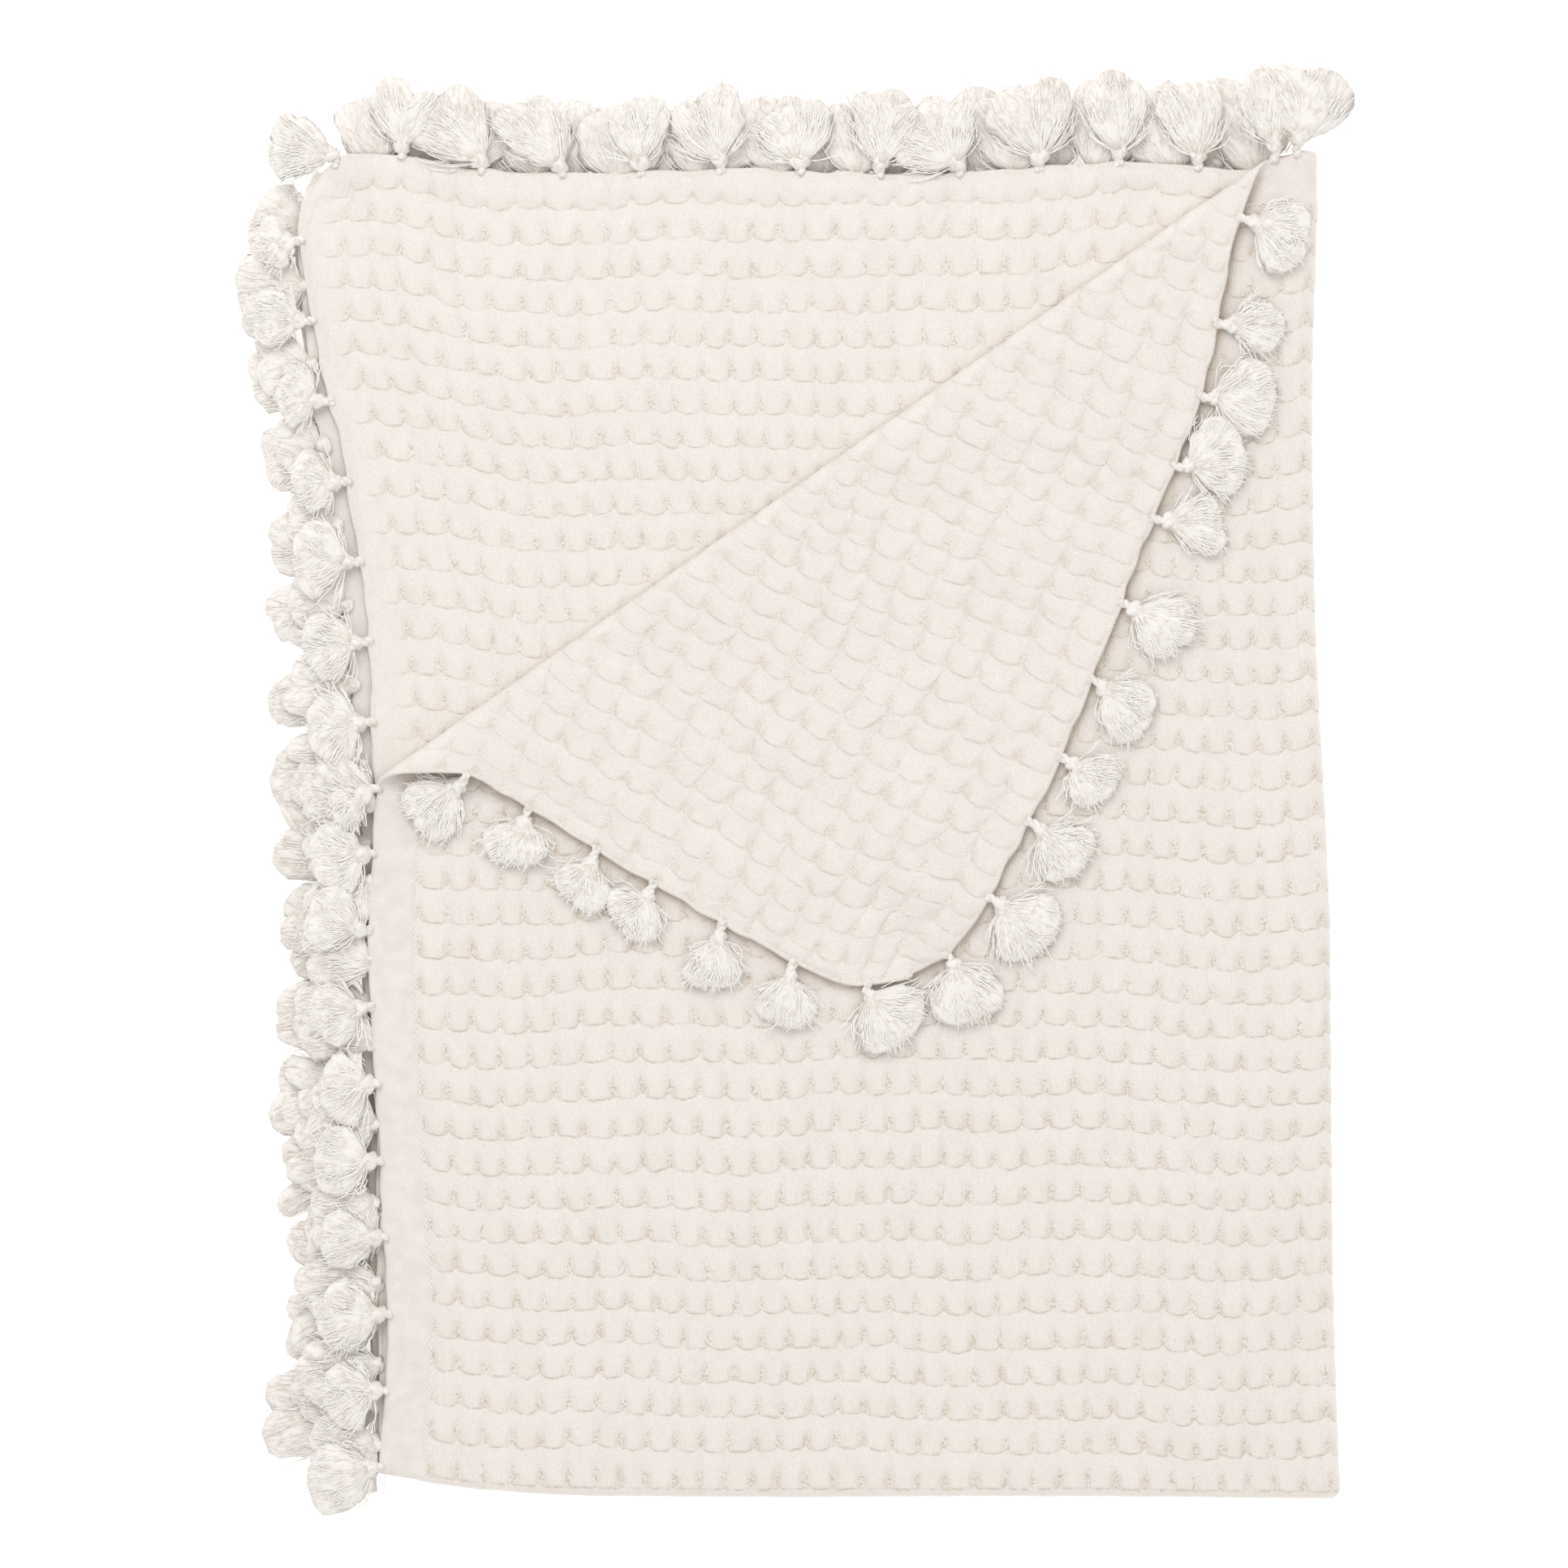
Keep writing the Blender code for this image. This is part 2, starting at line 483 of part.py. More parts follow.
def make_loose_tassel(name, loose, turned, material):
    """One tassel that lies on the topmost layer, with a short piece of strip as its root."""
    root = flat_line(loose.side, loose.place * MM)
    sections = [strip_section("top", loose.side, root + NECK_WIDTH * half, turned) for half in (0.5, -0.5)]
    bm = bmesh.new()
    a, b = ([bm.verts.new(swell(point)) for point in section] for section in sections)
    bm.faces.new((a[0], a[1], b[1], b[0]))
    bm.faces.new((a[1], a[2], b[2], b[1]))
    bm.faces.new((a[3], a[0], b[0], b[3]))
    bm.faces.new(a)
    bm.faces.new(b)
    outer = np.concatenate((sections[0][2:], sections[1][2:])).mean(axis=0)
    inner = np.concatenate((sections[0][:2], sections[1][:2])).mean(axis=0)
    outward = (outer - inner) * np.array((1, 1, 0))
    outward /= np.linalg.norm(outward)
    rest_z = TOP_LAYER_Z + WAFFLE_THICKNESS / 2 + FIT_GAP * 2 + SKIRT_THICKNESS / 2
    tassel(bm, [a[3], b[3], b[2], a[2]], outer, outward, loose.heading, loose.length * MM, loose.fan * MM, 3,
           rest_z)
    return finish(bm, name, material)


def build():
    """Clears the scene and makes the cloth and every tassel."""
    for old in list(bpy.data.objects):
        bpy.data.objects.remove(old)
    cloth = cloth_material("ivory_cotton_waffle", (0.84, 0.78, 0.72), 0.9)
    yarn = cloth_material("white_cotton_yarn", (0.86, 0.82, 0.77), 0.95)
    make_cloth(cloth)
    for name, row in TASSEL_ROWS.items():
        make_tassel_row(name, row, yarn)
    for number, loose in enumerate(LOOSE_TASSELS, start=1):
        make_loose_tassel(f"tassel_corner_{number:02d}", loose, True, yarn)
    for number, loose in enumerate(STILL_TASSELS, start=1):
        make_loose_tassel(f"tassel_hem_{number:02d}", loose, False, yarn)


build()
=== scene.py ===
"""Looks of a waffle-weave baby blanket folded in four, its top corner turned back, with tassels on every hem.

Four cloth panels, each a quarter of the one sheet between its folds and its hems, carry the waffle as real
relief. Tassels are neck yarns, a lumpy knot and a skirt of fine yarns. Lengths are in millimetres and angles
in radians until join_shapes() turns lengths into metres. The photo's right is +X, its top +Y; the floor is
Z = 0. A point of the flat sheet is a = distance from the right fold, b = distance from the foot fold, and
w = distance from the middle of the cloth's thickness. The outside face is the one that shows on the folded
top layer. The last number in each call of grain() and drift() is a seed.
"""
import math
from collections import namedtuple

import bpy
import numpy as np
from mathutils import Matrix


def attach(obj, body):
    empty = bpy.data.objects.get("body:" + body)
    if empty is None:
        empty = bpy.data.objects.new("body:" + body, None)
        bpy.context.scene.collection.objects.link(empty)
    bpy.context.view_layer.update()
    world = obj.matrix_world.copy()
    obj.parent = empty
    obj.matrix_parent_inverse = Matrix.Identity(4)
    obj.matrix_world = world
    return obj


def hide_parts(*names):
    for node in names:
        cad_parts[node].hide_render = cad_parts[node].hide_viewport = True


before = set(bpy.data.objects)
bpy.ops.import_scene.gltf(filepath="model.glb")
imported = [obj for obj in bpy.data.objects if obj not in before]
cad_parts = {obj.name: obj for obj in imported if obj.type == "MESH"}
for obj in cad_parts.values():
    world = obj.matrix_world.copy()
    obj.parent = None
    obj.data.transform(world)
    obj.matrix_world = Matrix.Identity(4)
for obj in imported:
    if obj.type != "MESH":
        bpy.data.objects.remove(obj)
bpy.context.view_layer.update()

MM = 0.001

# Sheet and folds, as in the CAD model
WAFFLE_THICKNESS, HEM_WIDTH, HEM_STEP, LAYER_GAP = 2.8, 16.0, 2.5, 0.6
LAYER_PITCH = WAFFLE_THICKNESS + LAYER_GAP
PANEL_WIDTH, PANEL_HEIGHT = 366.0, 508.0
FOLD_RADIUS = LAYER_PITCH / 2
OUTER_FOLD_REACH = 1.5 * LAYER_PITCH + WAFFLE_THICKNESS / 2
FOOT_FOLD_REACH = FOLD_RADIUS + WAFFLE_THICKNESS / 2
STACK_CENTRE = OUTER_FOLD_REACH
FOOT_ARC = math.pi * FOLD_RADIUS / 2
RIGHT_ARC = math.pi * FOLD_RADIUS
STACK_LEFT, STACK_RIGHT, STACK_FOOT, STACK_TOP = -158.0, 198.0, -270.5, 237.0

# Outline of the folds: (y, x) down the right fold and (x, y) along the foot fold
RIGHT_EDGE = ((-272, 212.5), (-198, 210.0), (-98, 209.0), (-49, 208.4), (0, 206.0), (50, 203.4), (100, 202.2),
              (150, 201.8), (199, 203.4), (236, 204.4))
FOOT_EDGE = ((-158, -265.0), (-132, -269.2), (-94, -272.6), (-50, -273.4), (100, -273.3), (203, -274.2))

# Left hem of each layer, (y, x) from the foot up, and top hem, (x, y) from left to right
LEFT_HEM = {
    "top": ((-268, -154.9), (-247, -153.3), (-206, -151.4), (-168, -153.9), (-111, -156.7), (-94, -158.0),
            (-30, -157.6), (0, -154.5), (14, -148.0), (32, -143.0), (59, -146.2), (89, -152.0), (115, -156.8),
            (144, -161.6), (174, -166.4), (240, -169.0)),
    "second": ((-268, -154.9), (-100, -156.5), (14, -157.6), (64, -160.1), (100, -165.7), (127, -170.0),
               (149, -176.0), (166, -179.6), (195, -184.3), (240, -186.0)),
    "third": ((-268, -157.0), (-198, -158.4), (-151, -159.3), (-98, -160.4), (-28, -161.5), (10, -164.0),
              (53, -167.7), (109, -174.5), (130, -178.0), (152, -181.5), (195, -185.5), (240, -186.0)),
    "under": ((-268, -157.0), (-198, -159.4), (-151, -160.5), (-98, -161.5), (-28, -162.5), (10, -165.2),
              (53, -169.0), (109, -175.5), (130, -179.0), (152, -182.5), (195, -186.5), (240, -187.0)),
}
TOP_HEM = {
    "top": ((-166, 231.0), (-136, 233.5), (-106, 236.8), (-60, 242.6), (0, 244.6), (35, 245.0), (65, 246.0),
            (93, 246.0), (122, 242.0), (150, 237.3), (172, 236.5), (190, 238.5), (198, 240.5)),
    "second": ((-186, 238.0), (-138, 240.5), (-118, 239.0), (-100, 234.8), (-75, 232.5), (0, 233.9),
               (70, 232.2), (104, 234.5), (135, 236.6), (178, 233.8), (198, 233.6)),
    "third": ((-186, 236.0), (-138, 237.5), (-100, 233.0), (0, 232.5), (198, 233.6)),
    "under": ((-186, 235.5), (-100, 232.5), (60, 232.2), (150, 236.0), (198, 240.5)),
}
CORNER_RADIUS = {"top": 46.0, "second": 27.0, "third": 27.0, "under": 27.0}

# Half of the sheet that each layer is: side of the right fold, side of the foot fold
LAYER_SIGNS = {"top": (-1, 1), "second": (-1, -1), "third": (1, -1), "under": (1, 1)}

# Crease of the turned-back corner: its outermost line, its bend's radius, how close to the layer below and
# how soon the corner comes to rest, and the low arch in which it stays up at the crease's left end
CREASE_LEFT, CREASE_RIGHT = np.array((-152.7, 3.0)), np.array((173.8, 230.5))
CREASE_RADIUS, FLAP_GAP, FLAP_SETTLE = 2.4, 0.9, 30.0
CREASE_REACH = CREASE_RADIUS + WAFFLE_THICKNESS / 2
ARCH_CENTRE, ARCH_REACH, ARCH_HEIGHT = np.array((-134.5, 5.5)), 24.0, 5.0
TOP_LAYER_Z = STACK_CENTRE + 1.5 * LAYER_PITCH
CREASE_ALONG = (CREASE_RIGHT - CREASE_LEFT) / np.linalg.norm(CREASE_RIGHT - CREASE_LEFT)
CREASE_NORMAL = np.array((-CREASE_ALONG[1], CREASE_ALONG[0]))
CREASE_AXIS = CREASE_LEFT - CREASE_NORMAL * CREASE_REACH

# Rise of the layer below along the crease's foot: height, distance outside the crease, width
FOOT_RISE, FOOT_RISE_PLACE, FOOT_RISE_WIDTH = 1.2, 1.2, 3.4

# Low swell that all layers share: share of the height that it adds, and the length and start of its waves
# along x and y; height under which cloth flattens on the floor
SWELL_SHARE, SWELL_X, SWELL_Y, SOLE = 0.04, (43.0, 1.0), (61.0, 0.5), 0.4

# Middle of the CAD model's outline, in the photo's frame
PART_CENTRE = (-1.36, -1.98)

# Waffle: cell size across (a) and up (b), and where the first pit column and the first row line lie
CELL_WIDTH, CELL_HEIGHT = 10.45, 13.3
FIRST_PIT, FIRST_LINE = CELL_WIDTH / 2, 2.5

# Stretch of the cloth round the outer fold, and how much the last row of scales beside the hem is squeezed
OUTER_FOLD_STRETCH, LAST_ROW_SQUEEZE = 1.5, 0.42

# Darkness of the painted shadow lines below rows and scales, and how strong the scales' painted shadow
# outlines are beside the rows'
ROW_LINE, SCALE_LINE, SCALES_SHARE = 0.65, 0.4, 0.62

# How much blocks and pits differ from one to the next, and random shares for a stretch of cells
BLOCK_VARIES, PIT_VARIES, JITTER_CELLS = 0.28, 0.45, 64
JITTER = np.random.default_rng(11).uniform(-1, 1, (2, JITTER_CELLS, JITTER_CELLS))

# Slow wandering of the weave, as (wavelength, height), and the size of the table of random values of grain()
DRIFT_WAVES, GRAIN_TABLE = ((170, 1.2), (95, 0.8), (48, 0.4), (30, 0.3)), (67, 71)

# Strength of the painted shade, tan, in the pits, along the blocks' lower edges and in the shadow lines
PIT_SHADE, EDGE_SHADE, LINE_SHADE = 0.19, 0.26, 0.36

# Grid lines inside one cell, counted from halfway between two pits and halfway between two row lines.
# "rows": a painted shadow line runs across the sheet below each row of blocks. "scales": it runs up the sheet
# instead.
CELL_COLUMNS = {"rows": (0, 2.4, 3.1, 3.8, 5.225, 6.65, 7.35, 8.05),
                "scales": (0, 2.7, 4.25, 4.875, 5.225, 6.075, 7.425, 8.925),
                "plain": (0, 3.0, 5.225, 7.45)}
CELL_ROWS = {"rows": (0, 2.6, 4.6, 5.8, 6.3, 6.65, 7.0, 7.7, 9.7),
             "scales": (0, 2.05, 3.75, 5.05, 5.95, 6.65, 7.55, 8.75, 10.75),
             "plain": (0, 3.6, 5.7, 6.35, 6.95, 8.6)}

# Grid lines beside a hem, and the least distance of a cell's line from the fold and from those
EDGE_LINES, LEAST_FROM_FOLD, LEAST_FROM_EDGE = (2.4, 1.7, 1.2, 0.7, 0.3, 0.0), 0.3, 0.4

# Up one cell, as (share of the way up from the line below, value): relief over a block and inside a pit, half
# the pit's width, and darkness of the painted shadow line
BLOCK_PROFILE = ((0, -0.22), (0.026, 0.10), (0.079, 0.24), (0.23, 0.36), (0.5, 0.28), (0.7, 0.14),
                 (0.85, 0.02), (0.936, -0.05), (0.974, -0.12), (1, -0.22))
PIT_PROFILE = ((0, -0.30), (0.026, -0.34), (0.079, -0.38), (0.23, -0.36), (0.4, -0.24), (0.55, -0.02),
               (0.7, 0.06), (0.85, 0.0), (0.936, -0.06), (0.974, -0.14), (1, -0.30))
PIT_HALF_WIDTH = ((0, 3.1), (0.1, 2.9), (0.3, 2.5), (0.5, 2.0), (0.65, 1.4), (1, 1.0))
LINE_PROFILE = ((0, 1), (0.026, 0.22), (0.06, 0), (0.94, 0), (0.974, 0.22), (1, 1))

# By the distance in from the hem: half the cloth's thickness, and the bead that the rim adds on seen insides
HALF_THICKNESS = ((0, 0.25), (0.3, 0.55), (0.7, 0.8), (1.2, 0.95), (1.7, 1.0), (HEM_WIDTH, 1.0),
                  (HEM_WIDTH + HEM_STEP, WAFFLE_THICKNESS / 2))
RIM_BEAD = ((0, 0.0), (0.3, 0.12), (0.7, 0.22), (1.2, 0.1), (1.7, -0.14), (2.4, 0.0))

# Distances in from a hem between which the weave comes free of its straight grid, outside and inside, and how
# far the hem's own edge wanders
HEM_HOLD, EDGE_WANDER = ((13.0, 28.0), (0.5, 6.0)), 0.7

# Turned-back corner: how far its hem stands off the layer below, and over which stretch of the cloth
FLAP_EDGE_LIFT, FLAP_EDGE_WIDTH = 0.3, 12.0

# Painted shade, tan, deep between layers: its share and its reach beside the turned-back corner's hem, and
# its share on hems that other layers cover
FLAP_SHADE, FLAP_SHADE_WIDTH, HEM_SHADE = 0.60, 3.2, 0.12

# Hem stitches: distance in from the hem, swing to each side of it, length of one zigzag and of its bends,
# height off the cloth's middle, thread radius and tone; rows as layer, hem, first and last distance from
# the fold
STITCH_DEPTH, STITCH_SWING, STITCH_PITCH, STITCH_BEND = 17.0, 0.55, 2.6, 0.25
STITCH_HEIGHT, STITCH_RADIUS, STITCH_TONE = 1.30, 0.30, 1.6
STITCH_ROWS = (("top", "left", 10.0, 276.0), ("top", "top", 8.0, 44.0),
               ("under", "left", 10.0, 490.0), ("under", "top", 8.0, 348.0))

# Colours at both ends of the mottling, of cotton, turned hem (its darker end painted shade of crumples) and
# yarn; then of the flecks between threads, of cotton in painted shade and lint, and of yarn in painted shade
# and at its darkest tone
COTTON_TONES = (0.862, 0.812, 0.766, 1), (0.902, 0.864, 0.826, 1)
HEM_TONES = (0.850, 0.812, 0.786, 1), (0.752, 0.700, 0.664, 1)
YARN_TONES = (0.880, 0.850, 0.818, 1), (0.925, 0.906, 0.882, 1)
FLECKS, COTTON_SHADE, YARN_SHADE = (0.78, 0.69, 0.61, 1), (0.60, 0.49, 0.38, 1), (0.66, 0.55, 0.44, 1)

# Spacing of the threads that run up the sheet and of those that run across it, in metres
WARP_PITCH, WEFT_PITCH = 0.00078, 0.00092

# Values that each point of the cloth carries for its material
CLOTH_VALUES = ("groove_shade", "pit", "hem", "waffle", "across", "up")


# ---------------------------------------------------------------- folding the sheet

def smooth_step(value, low, high):
    """0 below low, 1 above high, and 3s^2 - 2s^3 between them."""
    s = np.clip((value - low) / (high - low), 0.0, 1.0)
    return s * s * (3 - 2 * s)


def profile(place, rows):
    """Straight lines through rows of (place, value)."""
    return np.interp(place, *np.array(rows).T)


def smooth_line(place, rows):
    """Smooth curve through rows of (place, value): a cubic between rows, with the mean slope at each row."""
    at, value = np.array(rows, dtype=float).T
    slope = np.gradient(value, at)
    i = np.clip(np.searchsorted(at, place) - 1, 0, len(at) - 2)
    span = at[i + 1] - at[i]
    s = np.clip((place - at[i]) / span, 0.0, 1.0)
    start = value[i] * (1 + 2 * s) * (1 - s) ** 2 + slope[i] * span * s * (1 - s) ** 2
    end = value[i + 1] * (3 - 2 * s) * s ** 2 + slope[i + 1] * span * (s - 1) * s ** 2
    return start + end


def round_corner(side, end, radius):
    """Distances in from two hems, so moved that square rings round the corner become arcs."""
    near, far = np.minimum(side, end), np.maximum(side, end)
    inside = far < radius
    arc = np.where(inside, radius - near, 1.0)
    turn = math.pi / 4 * (radius - far) / arc
    near = np.where(inside, radius - arc * np.cos(turn), near)
    far = np.where(inside, radius - arc * np.sin(turn), far)
    swap = side > end
    return np.where(swap, far, near), np.where(swap, near, far)


def fold_in_four(layer, a, b, w):
    """Place of flat points: stretched between fold lines and hems, then half turns round both folds."""
    sign_u, sign_v = LAYER_SIGNS[layer]
    side, end = round_corner(PANEL_WIDTH - a, PANEL_HEIGHT - b, CORNER_RADIUS[layer])
    across = np.maximum((PANEL_WIDTH - side - RIGHT_ARC) / (PANEL_WIDTH - RIGHT_ARC), 0.0)
    along = np.maximum((PANEL_HEIGHT - end - FOOT_ARC) / (PANEL_HEIGHT - FOOT_ARC), 0.0)
    x_read = STACK_RIGHT + (STACK_LEFT - STACK_RIGHT) * across
    y_read = STACK_FOOT + (STACK_TOP - STACK_FOOT) * along
    x_fold = smooth_line(y_read, RIGHT_EDGE) - OUTER_FOLD_REACH
    y_fold = smooth_line(x_read, FOOT_EDGE) + FOOT_FOLD_REACH
    x = x_fold + (smooth_line(y_read, LEFT_HEM[layer]) - x_fold) * across
    y = y_fold + (smooth_line(x_read, TOP_HEM[layer]) - y_fold) * along
    foot_turn = math.pi / 2 * (1 + sign_v * np.minimum(b / FOOT_ARC, 1.0))
    y = y - (FOLD_RADIUS - w) * np.sin(foot_turn)
    rise = FOLD_RADIUS - (FOLD_RADIUS - w) * np.cos(foot_turn)
    side_turn = math.pi / 2 * (1 + sign_u * np.minimum(a / RIGHT_ARC, 1.0))
    x = x + (FOLD_RADIUS + rise) * np.sin(side_turn)
    z = STACK_CENTRE + (FOLD_RADIUS + rise) * np.cos(side_turn)
    return np.stack((x, y, z), axis=-1)


def past_crease(points):
    """Distance beyond the crease's axis, towards the corner that is turned back."""
    return (points[..., :2] - CREASE_AXIS) @ CREASE_NORMAL


def turn_back(points):
    """Half turn round the crease's axis, then flat on the layer, with a low arch at the crease's left end."""
    far = past_crease(points)[..., None]
    above = points[..., 2:] - TOP_LAYER_Z
    turn = np.clip(far / CREASE_RADIUS, 0.0, math.pi)
    beyond = far - CREASE_RADIUS * turn
    flat = points[..., :2] + CREASE_NORMAL * ((CREASE_RADIUS - above) * np.sin(turn) - beyond - far)
    z = TOP_LAYER_Z + CREASE_RADIUS - (CREASE_RADIUS - above) * np.cos(turn)
    z -= (2 * CREASE_RADIUS - WAFFLE_THICKNESS - FLAP_GAP) * (1 - np.exp(-(beyond / FLAP_SETTLE) ** 2))
    arch = np.exp(-(np.linalg.norm(flat - ARCH_CENTRE, axis=-1, keepdims=True) / ARCH_REACH) ** 2)
    z += ARCH_HEIGHT * arch * np.sin(turn / 2) ** 2
    return np.where(far > 0, np.concatenate((flat, z), axis=-1), points)


def swell(points):
    """Low rises and hollows that all layers share, a product of two sines, about the part's middle.

    What would sink into the surface below is flattened on it: under SOLE the height falls off exponentially.
    """
    x, y, z = np.moveaxis(np.asarray(points, dtype=float), -1, 0)
    z = np.where(z < SOLE, SOLE * np.exp((np.minimum(z, SOLE) - SOLE) / SOLE), z)
    wave = np.sin(x / SWELL_X[0] + SWELL_X[1]) * np.sin(y / SWELL_Y[0] + SWELL_Y[1])
    return np.stack((x - PART_CENTRE[0], y - PART_CENTRE[1], z * (1 + SWELL_SHARE * wave)), axis=-1)


def place_on_stack(layer, a, b, w):
    """Folded place of flat points, before the shared swell. The turned-back corner's hem curls up a bit."""
    points = fold_in_four(layer, a, b, w)
    if layer != "top":
        return points
    beyond = past_crease(points)
    points = turn_back(points)
    depth = np.minimum(PANEL_WIDTH - a, PANEL_HEIGHT - b)
    curl = (1 - smooth_step(depth, 0, FLAP_EDGE_WIDTH)) * smooth_step(beyond, 8, 20)
    points[..., 2] += FLAP_EDGE_LIFT * curl * (1 + 0.35 * np.sin(a / 17.0) * np.sin(b / 23.0))
    return points


# ---------------------------------------------------------------- materials

class Varying:
    """A value that changes over a surface. Arithmetic on it adds Math nodes to its material."""

    def __init__(self, finish, socket):
        self.finish, self.socket = finish, socket

    def _math(self, operation, first, second=0.0):
        return self.finish.node("Math", {0: first, 1: second}, operation=operation)

    def __add__(self, other): return self._math("ADD", self, other)
    def __radd__(self, other): return self._math("ADD", other, self)
    def __sub__(self, other): return self._math("SUBTRACT", self, other)
    def __rsub__(self, other): return self._math("SUBTRACT", other, self)
    def __mul__(self, other): return self._math("MULTIPLY", self, other)
    def __rmul__(self, other): return self._math("MULTIPLY", other, self)
    def sine(self): return self._math("SINE", self)
    def size(self): return self._math("ABSOLUTE", self)
    def part(self): return self._math("FRACT", self)
    def highest(self, other): return self._math("MAXIMUM", self, other)
    def lowest(self, other): return self._math("MINIMUM", self, other)


class Finish:
    """One material under construction: node() adds any node and returns one of its outputs as a Varying."""

    def __init__(self, name, **constants):
        self.material = bpy.data.materials.new(name)
        self.material.use_nodes = True
        self.tree = self.material.node_tree
        self.shader = self.tree.nodes["Principled BSDF"]
        for socket, value in constants.items():
            self.shader.inputs[socket.replace("_", " ")].default_value = value

    def node(self, kind, inputs=None, output=0, **settings):
        made = self.tree.nodes.new("ShaderNode" + kind)
        for setting, value in settings.items():
            setattr(made, setting, value)
        for socket, value in (inputs or {}).items():
            self.feed(made.inputs[socket], value)
        return Varying(self, made.outputs[output])

    def feed(self, socket, value):
        if isinstance(value, Varying):
            self.tree.links.new(value.socket, socket)
        else:
            socket.default_value = value

    def blend(self, share, first, second):
        """Colour that goes from first to second as share goes from 0 to 1."""
        return self.node("Mix", {0: share, 6: first, 7: second}, output=2, data_type="RGBA")

    def noise(self, where, scale, detail):
        return self.node("TexNoise", {"Vector": where, "Scale": scale, "Detail": detail})

    def attribute(self, name):
        return self.node("Attribute", output=2, attribute_name=name)

    def flat_coordinates(self):
        """Both coordinates of the piece's UV map, which are lengths in metres but for those round a yarn."""
        split = self.node("SeparateXYZ", {0: self.node("UVMap", uv_map="UVMap")})
        return split, Varying(self, split.socket.node.outputs[1])

    def surface(self, **sockets):
        for socket, value in sockets.items():
            self.feed(self.shader.inputs[socket.replace("_", " ")], value)


def waffle_cotton():
    """Soft matte ivory cotton: painted shade in its grooves, a thin broken painted shadow line below each
    block, fine threads, mottling.

    The attributes across and up count cells: whole numbers of across lie on a pit column, of up on a line.
    """
    finish = Finish("ivory_cotton_waffle", Roughness=0.92, Sheen_Weight=0.12, Sheen_Roughness=0.6)
    groove_shade, pit, hem, waffle, cells_across, cells_up = map(finish.attribute, CLOTH_VALUES)
    across, up = finish.flat_coordinates()
    here = finish.node("TexCoord", output=3)

    # Threads lengthwise and crosswise, and flecks between them
    wander, fuzz = finish.noise(here, 260.0, 1.0), finish.noise(here, 1600.0, 2.0)
    lengthwise = (across * (2 * math.pi / WARP_PITCH) + wander * 3.0).sine()
    crosswise = (up * (2 * math.pi / WEFT_PITCH) + wander * 3.0).sine()
    threads = (lengthwise * (1.0 - pit * 0.7) * 0.5 + crosswise * 0.12) * (1.0 - hem * 0.7)
    woven = ((fuzz - 0.5) * 1.4 + lengthwise * (1.0 - pit) * 0.10 + 0.13) * (1.0 - hem * 0.35)

    # Mottled cotton, and the plainer turned hem, mottled with darker blotches of painted shade of soft
    # crumples
    light = finish.blend(finish.noise(here, 90.0, 3.0), *COTTON_TONES)
    turned = finish.blend((finish.noise(here, 170.0, 4.0) - 0.28) * 2.3, *HEM_TONES)
    speckled = finish.blend(woven, finish.blend(hem * 0.9, light, turned), FLECKS)

    # Specks of lint, and painted shade between the loops down in the pits
    specks = ((finish.noise(here, 900.0, 0.0) - 0.77) * 8.0).highest(0.0) * 0.4
    loops = finish.noise(here, 1150.0, 1.0)
    shaded = pit * ((loops - 0.50) * 4.0).highest(0.0) * 0.34

    # Painted shadow outline: a line below each block that comes and goes, and dark specks of painted shade up
    # the pits' middles
    shake = finish.noise(here, 480.0, 2.0) - 0.5
    rise = (cells_up + shake * 0.12).part()
    broken = ((finish.noise(here, 260.0, 2.0) - 0.44) * 8.0).highest(0.08).lowest(1.0)
    line = (1.0 - rise.lowest(1.0 - rise) * 28.0).highest(0.0) * broken
    aside = ((cells_across + shake * 0.22 + 0.5).part() - 0.5).size()
    column = (1.0 - aside * 7.0).highest(0.0).lowest(0.5) * (1.0 - rise * 1.8).highest(0.0).lowest(0.5)
    pit_shade_specks = ((loops - 0.52) * 11.0).highest(0.0).lowest(1.0)
    shadow_outline = waffle * (line * 0.66).highest(column * 4.0 * pit_shade_specks * 0.74)

    colour = finish.blend((groove_shade + shaded + specks).highest(shadow_outline), speckled, COTTON_SHADE)
    relief = threads * 0.8 + fuzz * (1.2 - hem * 0.4) - shadow_outline * 1.5
    bump = finish.node("Bump", {"Strength": 0.7, "Distance": 0.00024, "Height": relief})
    finish.surface(Base_Color=colour, Normal=bump)
    return finish.material


def white_yarn():
    """Soft matte off-white cotton yarn: each has its own tone, with painted shade near its root and under
    other yarns, and fine fibres drawn out along it.
    """
    finish = Finish("white_cotton_yarn", Roughness=0.95, Sheen_Weight=0.2, Sheen_Roughness=0.6)
    tone = finish.attribute("tone")
    around, along = finish.flat_coordinates()
    here = finish.node("TexCoord", output=3)
    fuzz, bend = finish.noise(here, 2200.0, 2.0), finish.noise(here, 240.0, 1.0)
    drawn_out = finish.node("CombineXYZ", {0: around * 0.9 + bend * 2.4, 1: along * 200.0 + bend})
    fibres = finish.noise(drawn_out, 1.0, 2.0)
    # Painted shade between the fibres
    between = ((0.50 - fibres) * 3.2).highest(0.0)
    colour = finish.blend(tone - between, YARN_SHADE, finish.blend(fuzz, *YARN_TONES))
    bump = finish.node("Bump", {"Strength": 0.5, "Distance": 0.0003, "Height": fibres * 1.4 + fuzz * 0.3})
    finish.surface(Base_Color=colour, Normal=bump)
    return finish.material


COTTON, YARN = waffle_cotton(), white_yarn()


# ---------------------------------------------------------------- meshes

